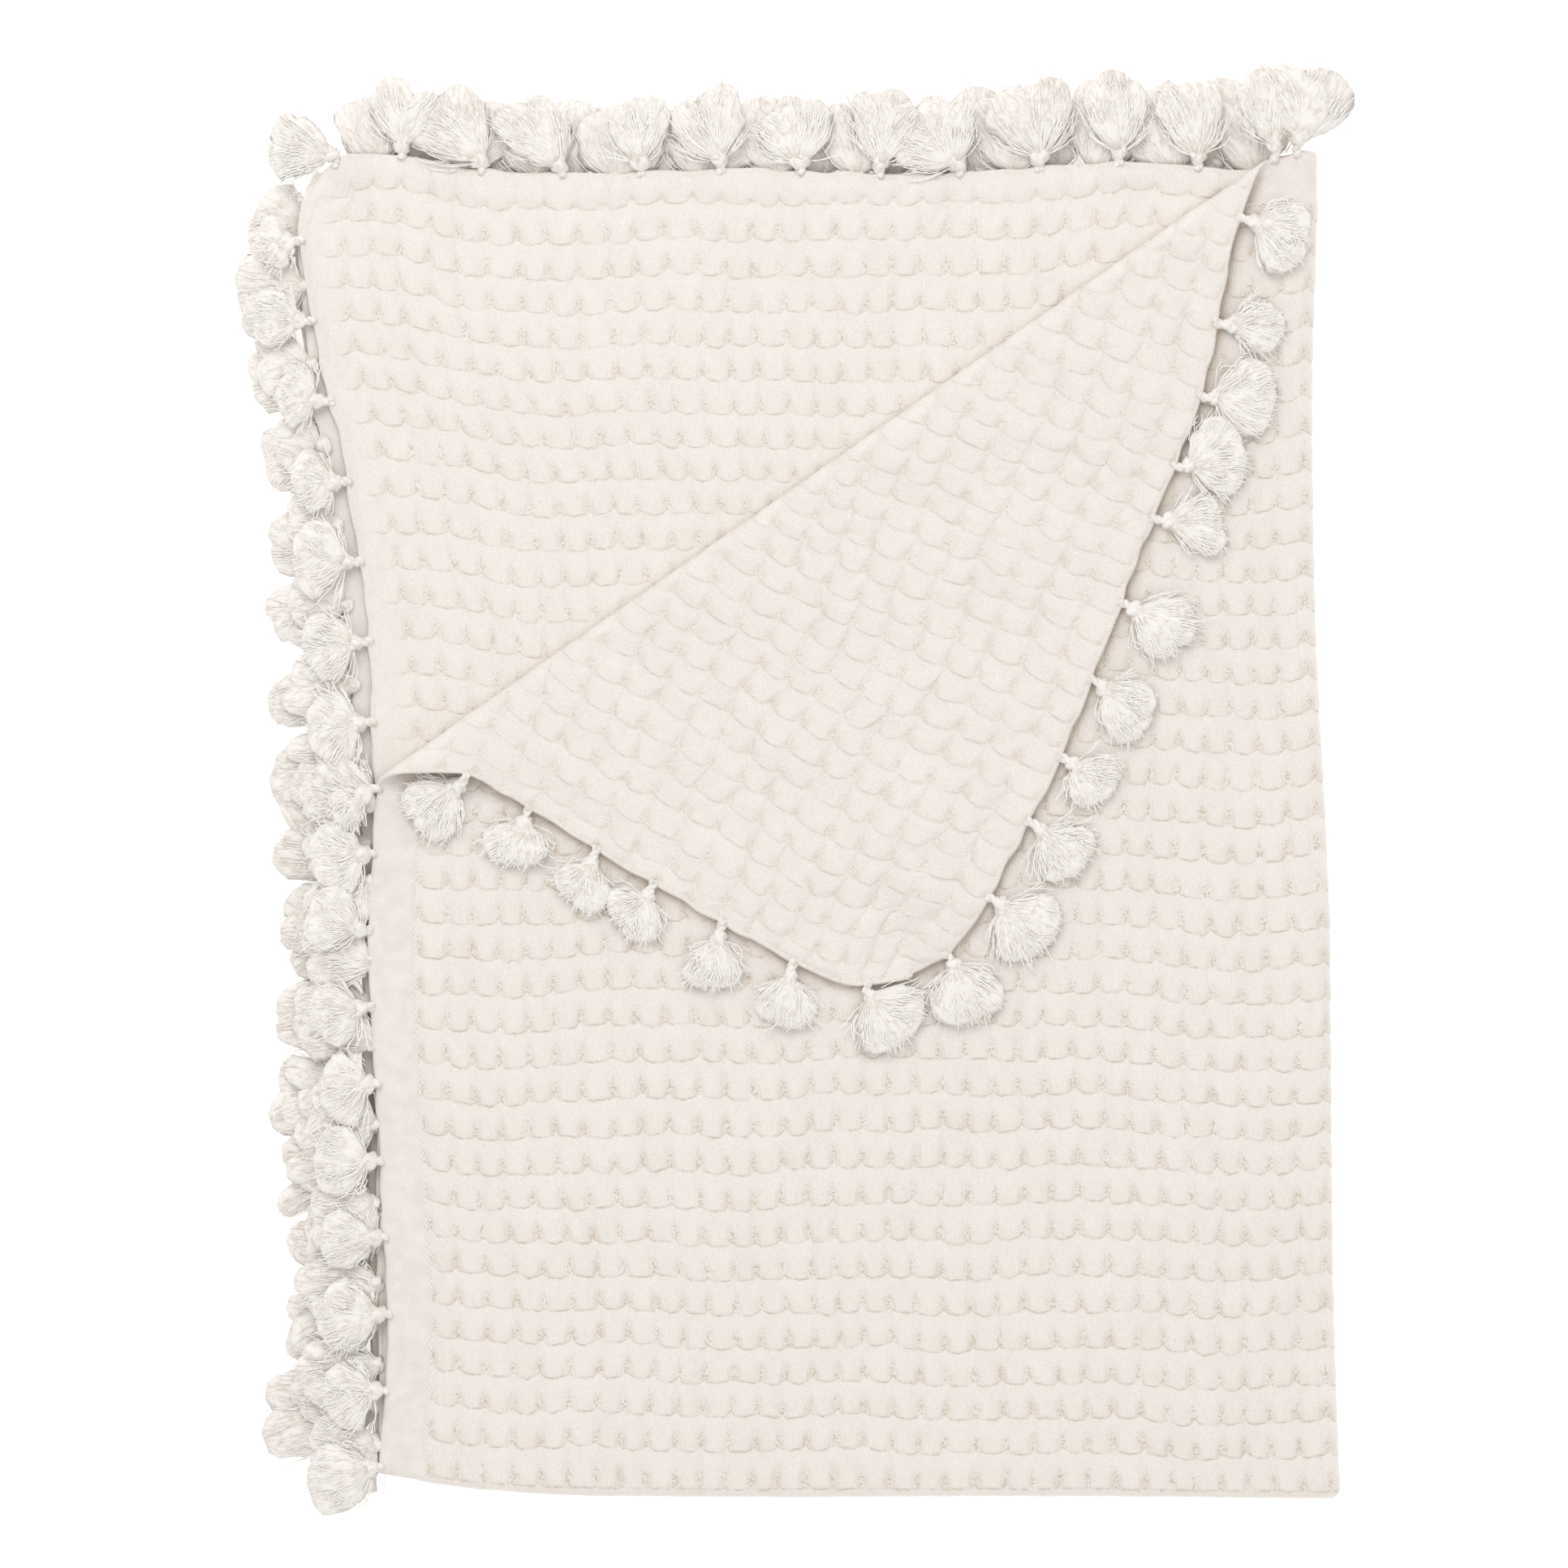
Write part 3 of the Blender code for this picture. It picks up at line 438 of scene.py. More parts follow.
def join_shapes(name, points, faces, flat, values, material, sharp=None, smooth=None):
    """Mesh object from points in mm, faces, flat coordinates in mm and named values for each point.

    sharp marks points whose edges stay sharp. smooth says which faces are shaded round: without it, all are.
    Where the shell's signed volume, the sum of a . (b x c) over its triangles, is negative, its faces turn.
    """
    mesh = bpy.data.meshes.new(name)
    mesh.from_pydata(points * MM, [], faces)
    mesh.update(calc_edges=True)
    corners = np.empty(len(mesh.loops), dtype=np.int32)
    mesh.loops.foreach_get("vertex_index", corners)
    mesh.uv_layers.new(name="UVMap").data.foreach_set("uv", (flat[corners] * MM).ravel())
    for key, value in values.items():
        mesh.attributes.new(key, "FLOAT", "POINT").data.foreach_set("value", value.astype(np.float32))
    mesh.polygons.foreach_set("use_smooth", np.ones(len(faces), dtype=bool) if smooth is None else smooth)
    if sharp is not None:
        ends = np.empty(len(mesh.edges) * 2, dtype=np.int32)
        mesh.edges.foreach_get("vertices", ends)
        mesh.edges.foreach_set("use_edge_sharp", sharp[ends.reshape(-1, 2)].all(axis=1))
    mesh.calc_loop_triangles()
    triangles = np.empty(len(mesh.loop_triangles) * 3, dtype=np.int32)
    mesh.loop_triangles.foreach_get("vertices", triangles)
    first, second, third = np.moveaxis(points[triangles.reshape(-1, 3)], 1, 0)
    if np.einsum("ij,ij->", first, np.cross(second, third)) < 0:
        mesh.flip_normals()
    mesh.materials.append(material)
    piece = bpy.data.objects.new(name, mesh)
    bpy.context.collection.objects.link(piece)
    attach(piece, "root")
    return piece


# ---------------------------------------------------------------- waffle cloth

def drift(a, b, seed):
    """Slow wandering of the weave: a sum of ever shorter and lower sine waves, each in its own direction."""
    rng = np.random.default_rng(seed)
    total = 0.0
    for wavelength, height in DRIFT_WAVES:
        angle, phase = rng.uniform(0, 2 * math.pi, 2)
        travel = a * math.cos(angle) + b * math.sin(angle)
        total = total + height * np.sin(2 * math.pi * travel / wavelength + phase)
    return total


def grain(a, b, size, seed):
    """Smooth random value from -1 to 1: random values on a square grid, blended between by smooth_step."""
    rows, columns = GRAIN_TABLE
    table = np.random.default_rng(seed).uniform(-1, 1, GRAIN_TABLE)
    i, j = np.floor(a / size).astype(int), np.floor(b / size).astype(int)
    s, t = smooth_step(a / size - i, 0, 1), smooth_step(b / size - j, 0, 1)

    def at(di, dj): return table[(i + di) % rows, (j + dj) % columns]

    near = at(0, 0) * (1 - s) + at(1, 0) * s
    far = at(0, 1) * (1 - s) + at(1, 1) * s
    return near * (1 - t) + far * t


def grid_lines(first, pitch, length, cell_offsets):
    """Grid lines of both faces from a fold to a hem, and the lines where blocks of one cell start.

    Each face has its own offsets inside a cell; towards the fold and the hem both come together.
    """
    cells = np.arange(-1, int(length / pitch) + 2)
    outside, inside = ((first + cells[:, None] * pitch + np.array(one)).ravel() for one in cell_offsets)
    keep = (outside > LEAST_FROM_FOLD) & (outside < length - EDGE_LINES[0] - LEAST_FROM_EDGE)
    starts = np.flatnonzero((np.arange(outside.size) % len(cell_offsets[0]) == 0)[keep]) + 1
    outside, inside = outside[keep], inside[keep]
    apart = smooth_step(outside, 0, 8) * smooth_step(length - outside, 1, 6)
    inside = outside + (inside - outside) * apart
    edge = length - np.array(EDGE_LINES)
    lines = [np.concatenate(([0.0], one, edge)) for one in (outside, inside)]
    return lines, np.array([0, *starts, len(lines[0]) - 1])


def waffle_relief(across, up, cell_across, cell_up, first_pit, first_line, line_depth):
    """Height of the waffle, its painted shade in grooves and pits, and how much of it is pit.

    Up a cell the block's profile rises steeply from the line below and sinks slowly to the line above.
    Across it the profile changes smoothly into the pit's at the nearest pit column. Each block and pit has
    its own size.
    """
    row = np.floor((up - first_line) / cell_up).astype(int)
    rise = (up - first_line) / cell_up - row
    turn = (across - first_pit) / cell_across
    block, pit = np.floor(turn).astype(int), np.floor(turn + 0.5).astype(int)
    aside = np.abs(turn - pit) * cell_across
    plump = 1 + BLOCK_VARIES * JITTER[0][row % JITTER_CELLS, block % JITTER_CELLS]
    depth = 1 + PIT_VARIES * JITTER[1][row % JITTER_CELLS, pit % JITTER_CELLS]
    crown = 0.85 + 0.15 * np.sin(math.pi * np.abs(turn - block))
    over_block = profile(rise, BLOCK_PROFILE) * plump * crown
    in_pit = profile(rise, PIT_PROFILE) * depth
    half_width = profile(rise, PIT_HALF_WIDTH)
    beside = smooth_step(aside, 0.45 * half_width, half_width)
    height = in_pit + (over_block - in_pit) * beside
    height = 0.9 * height + 0.12 * grain(across, up, 5.0, 21) + 0.09 * grain(across, up, 2.2, 22)
    # Painted shade: tan in the pits, beside the blocks' lower edges and in a shadow line below each row
    pit_share = (1 - beside) * smooth_step(-in_pit, 0.05, 0.36)
    uneven = (line_depth + 1.1 * grain(across, up, 5.0, 23)).clip(0.05, 1.1)
    line_share = profile(rise, LINE_PROFILE) * uneven
    edge_share = 4 * beside * (1 - beside) * (1 - smooth_step(rise, 0.35, 0.65))
    edge_share = edge_share * (0.5 + grain(across, up, 2.6, 24)).clip(0, 1)
    shade_tint = np.maximum(PIT_SHADE * pit_share * depth + EDGE_SHADE * edge_share, LINE_SHADE * line_share)
    return height, np.clip(shade_tint, 0, 1), pit_share


def scallop(cells):
    """Circular arcs that meet in cusps: 0 halfway between two pit columns, 0.72 on a pit column."""
    return 1 - np.sqrt(1 - (1.92 * np.abs(cells - np.floor(cells) - 0.5)) ** 2)


def wrinkles(a, b):
    """Soft slanting creases of a turned hem: random values drawn out along one slant."""
    return 0.30 * grain(a * 0.8 + b * 0.5, b * 0.30 - a * 0.25, 4.0, 41) + 0.12 * grain(a, b, 3.0, 42)


def flap_cover(points):
    """How far inside the turned-back corner's outline a point of the top layer lies, below 0 outside it.

    The point is mirrored in the crease on to the sheet before it was turned, and measured from the two hems
    and the rounded corner there.
    """
    distance = past_crease(points)
    mirrored = points[..., :2] + CREASE_NORMAL * (math.pi * CREASE_RADIUS - 2 * distance)[..., None]
    side = mirrored[..., 0] - smooth_line(mirrored[..., 1], LEFT_HEM["top"])
    end = smooth_line(mirrored[..., 0], TOP_HEM["top"]) - mirrored[..., 1]
    radius = CORNER_RADIUS["top"]
    corner = radius - np.hypot(radius - side, radius - end)
    inside = np.where((side < radius) & (end < radius), corner, np.minimum(side, end))
    return np.where(distance > 0, 99.0, inside)


# Panels: layer, and the grids of its outside and its inside face
PANELS = {"cloth_top": ("top", ("rows", "scales")), "cloth_second": ("second", ("rows", "rows")),
          "cloth_third": ("third", ("plain", "plain")), "cloth_bottom": ("under", ("plain", "plain"))}


def face_strength(layer, face, middle, side, end):
    """Share of the waffle's relief that each point shows, from 0 where another layer presses on it.

    middle is the point's place on the stack; side and end are its distances in from the left and the top hem.
    """
    depth = np.minimum(side, end)
    plain_hem = smooth_step(depth, HEM_WIDTH + 0.9, HEM_WIDTH + HEM_STEP)
    if layer == "top" and face == 0:
        return plain_hem * (1 - smooth_step(flap_cover(middle), 3, 11))
    if layer == "top":
        bent = past_crease(middle) - math.pi * CREASE_RADIUS / 2
        flattened = 1 - 0.75 * np.exp(-(bent / 4.5) ** 2)
        return smooth_step(depth, 0.6, 1.9) * smooth_step(bent, -10, -5) * flattened
    if layer == "second" and face == 1:
        turned_hem = smooth_step(end, 11.6, 12.9) * smooth_step(side, 6.0, 13.0)
        return 0.85 * turned_hem * smooth_step(past_crease(middle) - CREASE_REACH, -9, -1)
    if layer == "under" and face == 0:
        return 0.7 * plain_hem
    return np.zeros_like(depth)


def hem_form(layer, face, p, q, side, end):
    """Height that the turned hem adds: a roll along the second layer's top, creases, a stitch channel."""
    depth = np.minimum(side, end)
    in_hem = smooth_step(depth, 1.5, 4) * (1 - smooth_step(depth, 15, 19))
    if layer == "second" and face == 1:
        roll = smooth_step(end, 0.8, 5) * (1 - smooth_step(end, 9.5, 13.0)) * smooth_step(side, 6, 20)
        return 0.95 * roll * (1 + 0.3 * grain(p, q, 9.0, 43)) + 1.4 * in_hem * wrinkles(p, q)
    if face == 0 and layer in ("top", "under"):
        channel = np.exp(-((depth - STITCH_DEPTH) / 0.9) ** 2)
        return 0.80 * in_hem * wrinkles(p, q) - 0.22 * channel
    return np.zeros_like(depth)


def face_height(layer, face, p, q, middle, side, end, relief):
    """Height of a face over the cloth's middle: half its thickness, relief, rim, hem and crease's foot."""
    depth = np.minimum(side, end)
    height = profile(depth, HALF_THICKNESS) + relief + hem_form(layer, face, p, q, side, end)
    if layer in ("top", "second") and face == 1:
        height = height + profile(depth, RIM_BEAD)
    if layer == "second" and face == 1:
        beside = past_crease(middle) - CREASE_REACH - FOOT_RISE_PLACE
        height = height + FOOT_RISE * np.exp(-(beside / FOOT_RISE_WIDTH) ** 2) * smooth_step(depth, 2, 14)
    return height


def deep_shade(layer, face, middle, depth):
    """Painted shade, tan, deep between layers: round the turned-back corner's hem, and on hems that other
    layers cover.
    """
    if layer == "top" and face == 0:
        return FLAP_SHADE * np.exp(-(flap_cover(middle) / FLAP_SHADE_WIDTH) ** 2)
    if layer == "second" or (layer, face) in (("third", 0), ("under", 1)):
        return HEM_SHADE * (1 - smooth_step(depth, 4, 9)) * (1 - smooth_step(past_crease(middle), -2, 6))
    return np.zeros_like(depth)


def block_corners(values, starts_a, starts_b):
    """Lowest and highest of a value at the corners of each block."""
    at = values[np.ix_(starts_a, starts_b)]
    four = np.stack((at[:-1, :-1], at[1:, :-1], at[:-1, 1:], at[1:, 1:]))
    return four.min(axis=0), four.max(axis=0)


def fine_blocks(layer, face, middle, starts_a, starts_b):
    """True for each block whose waffle is seen, or that a fold bends: the others become one face each.

    Its limits reach a little further than those in face_strength().
    """
    shape = (len(starts_a) - 1, len(starts_b) - 1)
    fine = np.zeros(shape, dtype=bool)
    fine[0, :] = fine[:, 0] = True
    if layer == "top":
        from_arch = np.linalg.norm(middle[..., :2] - ARCH_CENTRE, axis=-1)
        fine |= block_corners(from_arch, starts_a, starts_b)[0] < 42
        if face == 0:
            fine |= block_corners(flap_cover(middle), starts_a, starts_b)[0] < 11
        else:
            fine |= block_corners(past_crease(middle), starts_a, starts_b)[1] > -4
    elif layer == "second" and face == 1:
        fine |= block_corners(past_crease(middle), starts_a, starts_b)[1] > -9
        fine[-2:, :] = True
    elif layer == "under" and face == 0:
        fine[:] = True
    elif (layer, face) in (("third", 0), ("under", 1), ("second", 0)):
        fine[-1, :] = fine[:, -1] = True
    return fine


def skin_faces(index, starts_a, starts_b, fine):
    """Four-sided faces in each fine block, and one face for each other block.

    The one face passes through its neighbour's grid points on each side where the neighbour is fine.
    """
    faces = []
    around = np.pad(fine, 1, constant_values=True)
    for m, (i, k) in enumerate(zip(starts_a, starts_a[1:])):
        for n, (j, p) in enumerate(zip(starts_b, starts_b[1:])):
            if fine[m, n]:
                part = index[i:k + 1, j:p + 1]
                quads = np.stack((part[:-1, :-1], part[1:, :-1], part[1:, 1:], part[:-1, 1:]), axis=-1)
                faces += quads.reshape(-1, 4).tolist()
                continue
            sides = ((index[i:k + 1, j], around[m + 1, n]), (index[k, j:p + 1], around[m + 2, n + 1]),
                     (index[i:k + 1, p][::-1], around[m + 1, n + 2]),
                     (index[i, j:p + 1][::-1], around[m, n + 1]))
            faces.append([int(one) for line, all_points in sides
                          for one in (line[:-1] if all_points else line[:1])])
    return faces


def face_pattern(grid, p, q, length_a):
    """Relief, painted shade and pit of a face; its cells counted across and up; how far its rows bow along a
    and b.

    Scales are rows turned a quarter, so that their lines run up the sheet. They bow more unevenly, and the
    last of them beside the hem is narrower.
    """
    if grid != "scales":
        across, up = (p - FIRST_PIT) / CELL_WIDTH, (q - FIRST_LINE) / CELL_HEIGHT
        relief = waffle_relief(p, q, CELL_WIDTH, CELL_HEIGHT, FIRST_PIT, FIRST_LINE, ROW_LINE)
        return *relief, across, up, 0.0, scallop(across) * (2.7 + 1.4 * grain(p, q, 11.0, 31))
    last_line = FIRST_PIT + math.floor((length_a - FIRST_PIT) / CELL_WIDTH) * CELL_WIDTH
    squeezed = p + LAST_ROW_SQUEEZE * np.maximum(p - last_line, 0)
    across, up = (q - FIRST_LINE) / CELL_HEIGHT, (FIRST_PIT - squeezed) / CELL_WIDTH
    height, groove_shade, pit = waffle_relief(q, -squeezed, CELL_HEIGHT, CELL_WIDTH, FIRST_LINE, -FIRST_PIT,
                                        SCALE_LINE)
    height = height * (0.75 + 0.35 * grain(p, q, 15.0, 37))
    bow = -scallop(across) * (3.1 + 1.6 * grain(p, q, 9.0, 32)) + 1.1 * grain(p, q, 12.0, 39)
    return height, groove_shade, pit, across, up, bow, 1.5 * grain(p, q, 10.0, 38)


def stray(face, p, q, side, end, bow_a, bow_b):
    """How far the weave strays along a and b from its straight grid, which it keeps at the folds and hems."""
    free_a = smooth_step(p, 0, 14) * smooth_step(side, *HEM_HOLD[face])
    free_b = smooth_step(q, 0, 12) * smooth_step(end, *HEM_HOLD[face])
    ragged = EDGE_WANDER * (1 - smooth_step(np.minimum(side, end), 2, 12))
    still = np.zeros_like(p)
    stray_a = free_a * (drift(p, q, 3) + 0.45 * grain(p, q, 4.0, 33) + bow_a)
    stray_b = free_b * (drift(p, q, 5) + 0.50 * grain(p, q, 3.3, 34) + bow_b)
    return stray_a + ragged * grain(q, still, 8.0, 35), stray_b + ragged * grain(p, still, 8.0, 36)


def face_surface(layer, face, grid, p, q, length_a, fold_length):
    """One face of a panel: its points on the stack, flat coordinates, middle of the cloth, and CLOTH_VALUES.

    Each grid point strays from its place in the flat sheet, is folded, and stands off the middle by w.
    """
    sign_u, sign_v = LAYER_SIGNS[layer]
    side, end = length_a - p, PANEL_HEIGHT - q
    depth = np.minimum(side, end)
    height, groove_shade, pit, across, up, bow_a, bow_b = face_pattern(grid, p, q, length_a)
    stray_a, stray_b = stray(face, p, q, side, end, bow_a, bow_b)
    a = np.where(p < fold_length, p * RIGHT_ARC / fold_length, p - fold_length + RIGHT_ARC) + stray_a
    b = q + stray_b
    middle = fold_in_four(layer, a, b, np.zeros_like(a))
    strength = face_strength(layer, face, middle, side, end)
    w = face_height(layer, face, p, q, middle, side, end, strength * height) * (-1 if face == 0 else 1)
    # Painted shade: the waffle's own in its grooves and pits, and the deep shade between layers
    painted_shade = np.maximum(groove_shade * strength, deep_shade(layer, face, middle, depth))
    in_hem = (1 - smooth_step(depth, HEM_WIDTH, HEM_WIDTH + HEM_STEP)) * (face == 0)
    # Share of the painted shadow outline that each point shows
    shadow_outlined = strength * (SCALES_SHARE if grid == "scales" else 1.0)
    skin, flat = swell(place_on_stack(layer, a, b, w)), np.stack((sign_u * p, sign_v * q), axis=-1)
    return skin, flat, middle, (painted_shade, pit * strength, in_hem, shadow_outlined, across, up)


def rim_faces(index):
    """Faces between the rims of two grids, each followed once round from its first point."""
    rims = [np.concatenate((one[:-1, 0], one[-1, :-1], one[:0:-1, -1], one[0, :0:-1])) for one in index]
    (here, beyond), (low, under) = ((rim, np.roll(rim, -1)) for rim in rims)
    return np.stack((beyond, here, low, under), axis=-1).tolist()


def make_panel(name, layer, grids):
    """One quarter of the sheet as a closed shell: two faces of relief on one grid, joined round their rim."""
    fold_length = RIGHT_ARC * (OUTER_FOLD_STRETCH if layer in ("top", "under") else 1.0)
    length_a = PANEL_WIDTH - RIGHT_ARC + fold_length
    lines_a, starts_a = grid_lines(0.0, CELL_WIDTH, length_a, [CELL_COLUMNS[grid] for grid in grids])
    lines_b, starts_b = grid_lines(FIRST_LINE - CELL_HEIGHT / 2, CELL_HEIGHT, PANEL_HEIGHT,
                                   [CELL_ROWS[grid] for grid in grids])
    skins, flats, values, faces, index = [], [], [], [], []
    for face, grid in enumerate(grids):
        p, q = np.meshgrid(lines_a[face], lines_b[face], indexing="ij")
        skin, flat, middle, carried = face_surface(layer, face, grid, p, q, length_a, fold_length)
        skins.append(skin.reshape(-1, 3))
        flats.append(flat.reshape(-1, 2))
        values.append(carried)
        index.append(np.arange(p.size).reshape(p.shape) + face * p.size)
        fine = fine_blocks(layer, face, middle, starts_a, starts_b)
        made = skin_faces(index[face], starts_a, starts_b, fine)
        faces += made if face == 0 else [one[::-1] for one in made]
    faces += rim_faces(index)

    # Both fold edges stay sharp; grid points inside a block that is one face drop out
    seam = np.zeros(index[0].shape, dtype=bool)
    seam[0, :] = seam[:, 0] = True
    used = np.unique(np.fromiter((one for face in faces for one in face), dtype=np.int64))
    renumber = np.zeros(index[0].size * 2, dtype=np.int64)
    renumber[used] = np.arange(len(used))
    named = {key: np.concatenate([one.ravel() for one in both])[used]
             for key, both in zip(CLOTH_VALUES, zip(*values))}
    piece = join_shapes(
        name, np.concatenate(skins)[used], [renumber[face].tolist() for face in faces],
        np.concatenate(flats)[used], named, COTTON, sharp=np.tile(seam.ravel(), 2)[used])
    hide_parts("cloth")
    return piece


cloths = {name: make_panel(name, layer, grids) for name, (layer, grids) in PANELS.items()}


# ---------------------------------------------------------------- tassels

# Gap to the cloth below, thickness of a skirt in the CAD model, and height of one level of the pile
FIT_GAP, SKIRT_THICKNESS, PILE_PITCH = 0.3, 3.8, 4.3

# Root of a tassel's neck: how far in from the hem it starts, and a place further out that gives its direction
ROOT_INSIDE, ROOT_OUTSIDE = 1.6, 1.7

# How much a tassel's length varies, as least and most share, and how far its line bends to either side
LENGTH_VARIES, BEND = (0.92, 1.08), (-0.14, 0.14)

# Knot: rings, points round each, least and most length and radius, height beside width, size of its lumps
KNOT_RINGS, KNOT_SIDES, KNOT_LENGTH, KNOT_RADIUS = 9, 14, (5.0, 6.4), (2.9, 3.9)
KNOT_FLATNESS, KNOT_LUMPS = 0.70, 0.26

# Locks of a skirt: how many, rings, points round each, half width at the knot, where along a lock its round
# end starts and how long that is, and its half thickness, as (share of its length, mm)
LOCKS, LOCK_RINGS, LOCK_SIDES, LOCK_ROOT, ROUND_FROM, ROUND_LENGTH = 3, 8, 10, 2.0, 0.62, 0.40
PUFF_PROFILE = ((0, 1.5), (0.25, 2.1), (0.6, 2.2), (0.85, 1.7), (1, 0.8))

# Yarns of a skirt: points along each, its radius, as (share of its length, mm), first and last tuft across a
# lock and how many there are, the share that lies on top, and how far down the lock the last of them leave it
STRAND_STATIONS, STRAND_RADIUS = 6, ((0, 0.25), (0.85, 0.23), (1, 0.16))
TUFTS, STRANDS_ABOVE, STRANDS_LEAVE = (-0.9, 0.9, 5), 0.94, 0.6

# Form of a tassel: yarns in its skirt; length of its neck, below 0 where the knot is tucked in under a layer;
# length of the whole and its least and most width, beside the CAD model's; share of each lock that its puff
# fills; how soon the puff widens; how far the locks fan out; how uneven the yarns' ends are; how far its
# heading strays, in degrees
Form = namedtuple("Form", "strands neck reach width puff fullness spread ragged stray")

CORNER_FORM = Form(195, 4.0, 1.05, (0.95, 1.45), 0.90, 2.4, 1.05, 1.3, 0.0)
OPEN_HEM_FORM = Form(150, 3.6, 0.96, (0.9, 1.25), 0.87, 2.8, 1.0, 1.5, 8.0)

# Forms for each level of the pile, from the surface up, on the left hems and on the top hems
LEFT_FORMS = (Form(100, -3.0, 1.22, (1.05, 1.3), 0.90, 5.0, 1.05, 1.2, 7.0),
              Form(60, -3.0, 0.96, (1.05, 1.3), 0.90, 5.0, 1.05, 1.2, 7.0),
              Form(165, -1.6, 0.98, (0.9, 1.25), 0.86, 3.4, 1.2, 1.6, 13.0),
              Form(165, 2.0, 0.86, (0.8, 1.2), 0.86, 2.8, 1.05, 1.6, 15.0))
TOP_FORMS = (Form(66, -3.0, 1.00, (1.15, 1.45), 0.92, 5.0, 1.2, 1.2, 8.0),
             Form(75, -3.0, 1.02, (1.15, 1.45), 0.90, 5.0, 1.2, 1.4, 12.0),
             Form(190, 1.8, 1.06, (0.8, 1.25), 0.88, 3.2, 1.25, 1.7, 15.0))

# Where along the second layer's left hem its tassels come into sight beside the turned-back corner, in y
OPEN_HEM_FROM = 5.0

# Rows of tassels. side: hem; first: y or x of the first root; pitch: from root to root; fan: a skirt's width;
# level: place in the pile, 0 for the lowest; then each tassel's heading in degrees and length
TasselRow = namedtuple("TasselRow", "layer side first pitch fan level headings lengths")

TASSEL_ROWS = {
    "tassels_under_left": TasselRow(
        "under", "left", 216, 31.0, 22, 0,
        (176, 184, 180, 176, 182, 180, 178, 184, 182, 178, 180, 182, 178, 180, 184, 182),
        (19, 24, 20, 20, 21, 24, 29, 29, 29, 30, 32, 33, 33, 30, 33, 36)),
    "tassels_under_top": TasselRow(
        "under", "top", -115, 28.2, 22, 0,
        (95, 88, 92, 88, 95, 90, 92, 86, 94, 90, 88),
        (30, 25, 34, 29, 27, 31, 33, 33, 27, 36, 34)),
    "tassels_third_left": TasselRow(
        "third", "left", 188, 31.0, 22, 1,
        (186, 178, 184, 180, 178, 182, 188, 184, 180, 178, 180, 184, 182, 178, 184),
        (31, 24, 20, 21, 24, 29, 30, 29, 30, 33, 34, 34, 30, 33, 36)),
    "tassels_third_top": TasselRow(
        "third", "top", -129, 28.2, 22, 1,
        (100, 88, 94, 86, 90, 96, 88, 84, 92, 86, 90, 94),
        (29, 36, 28, 28, 29, 32, 31, 34, 36, 35, 36, 36)),
    "tassels_second_left": TasselRow(
        "second", "left", 203, 31.0, 25, 2,
        (192, 176, 168, 170, 174, 190, 198, 192, 190, 176, 174, 178, 186, 174, 180, 188),
        (21, 27, 25, 26, 31, 33, 33, 33, 33, 32, 34, 34, 34, 33, 36, 36)),
    "tassels_second_top": TasselRow(
        "second", "top", -149, 28.2, 25, 2,
        (155, 112, 104, 114, 116, 112, 96, 90, 94, 88, 92, 84),
        (30, 28, 36, 36, 31, 31, 30, 33, 34, 35, 36, 35)),
    "tassels_top_left": TasselRow(
        "top", "left", -29.7, 30.1, 25, 3,
        (180, 184, 190, 194, 188, 194, 190, 188, 198), (33, 32, 31, 33, 33, 33, 32, 34, 35)),
}
# Tassels of the turned-back corner, then those beside it on the hem that isn't turned back, as hem, y or x of
# the root while the corner is flat, heading, length and width
CORNER_TASSELS = (
    ("left", 32.5, 217, 31, 22), ("left", 60, 256, 25, 22), ("left", 90.5, 249, 24, 20),
    ("left", 116, 238, 23, 20), ("left", 147, 261, 26, 22), ("left", 178.5, 263, 26, 22),
    ("left", 214, 313, 30, 23), ("top", -140.5, 289, 30, 22), ("top", -108, 323, 32, 24),
    ("top", -76.5, 314, 29, 22), ("top", -50, 324, 28, 22), ("top", -19, 319, 30, 22),
    ("top", 11.5, 326, 31, 24), ("top", 45, -2, 31, 22), ("top", 66, 15, 30, 22),
    ("top", 93.5, 5, 30, 22), ("top", 121, 5, 27, 20), ("top", 160.5, -16, 28, 24),
    ("top", 187, 105, 36, 20),
)
HEM_TASSELS = (("left", -4, 215, 21, 14), ("top", 196, 76, 37, 24))


def flat_line(side, place):
    """Distance from the fold, in the flat sheet, of a place (y or x on the folded stack) along a hem."""
    if side == "left":
        return (place - STACK_FOOT) / (STACK_TOP - STACK_FOOT) * (PANEL_HEIGHT - FOOT_ARC) + FOOT_ARC
    return (STACK_RIGHT - place) / (STACK_RIGHT - STACK_LEFT) * (PANEL_WIDTH - RIGHT_ARC) + RIGHT_ARC


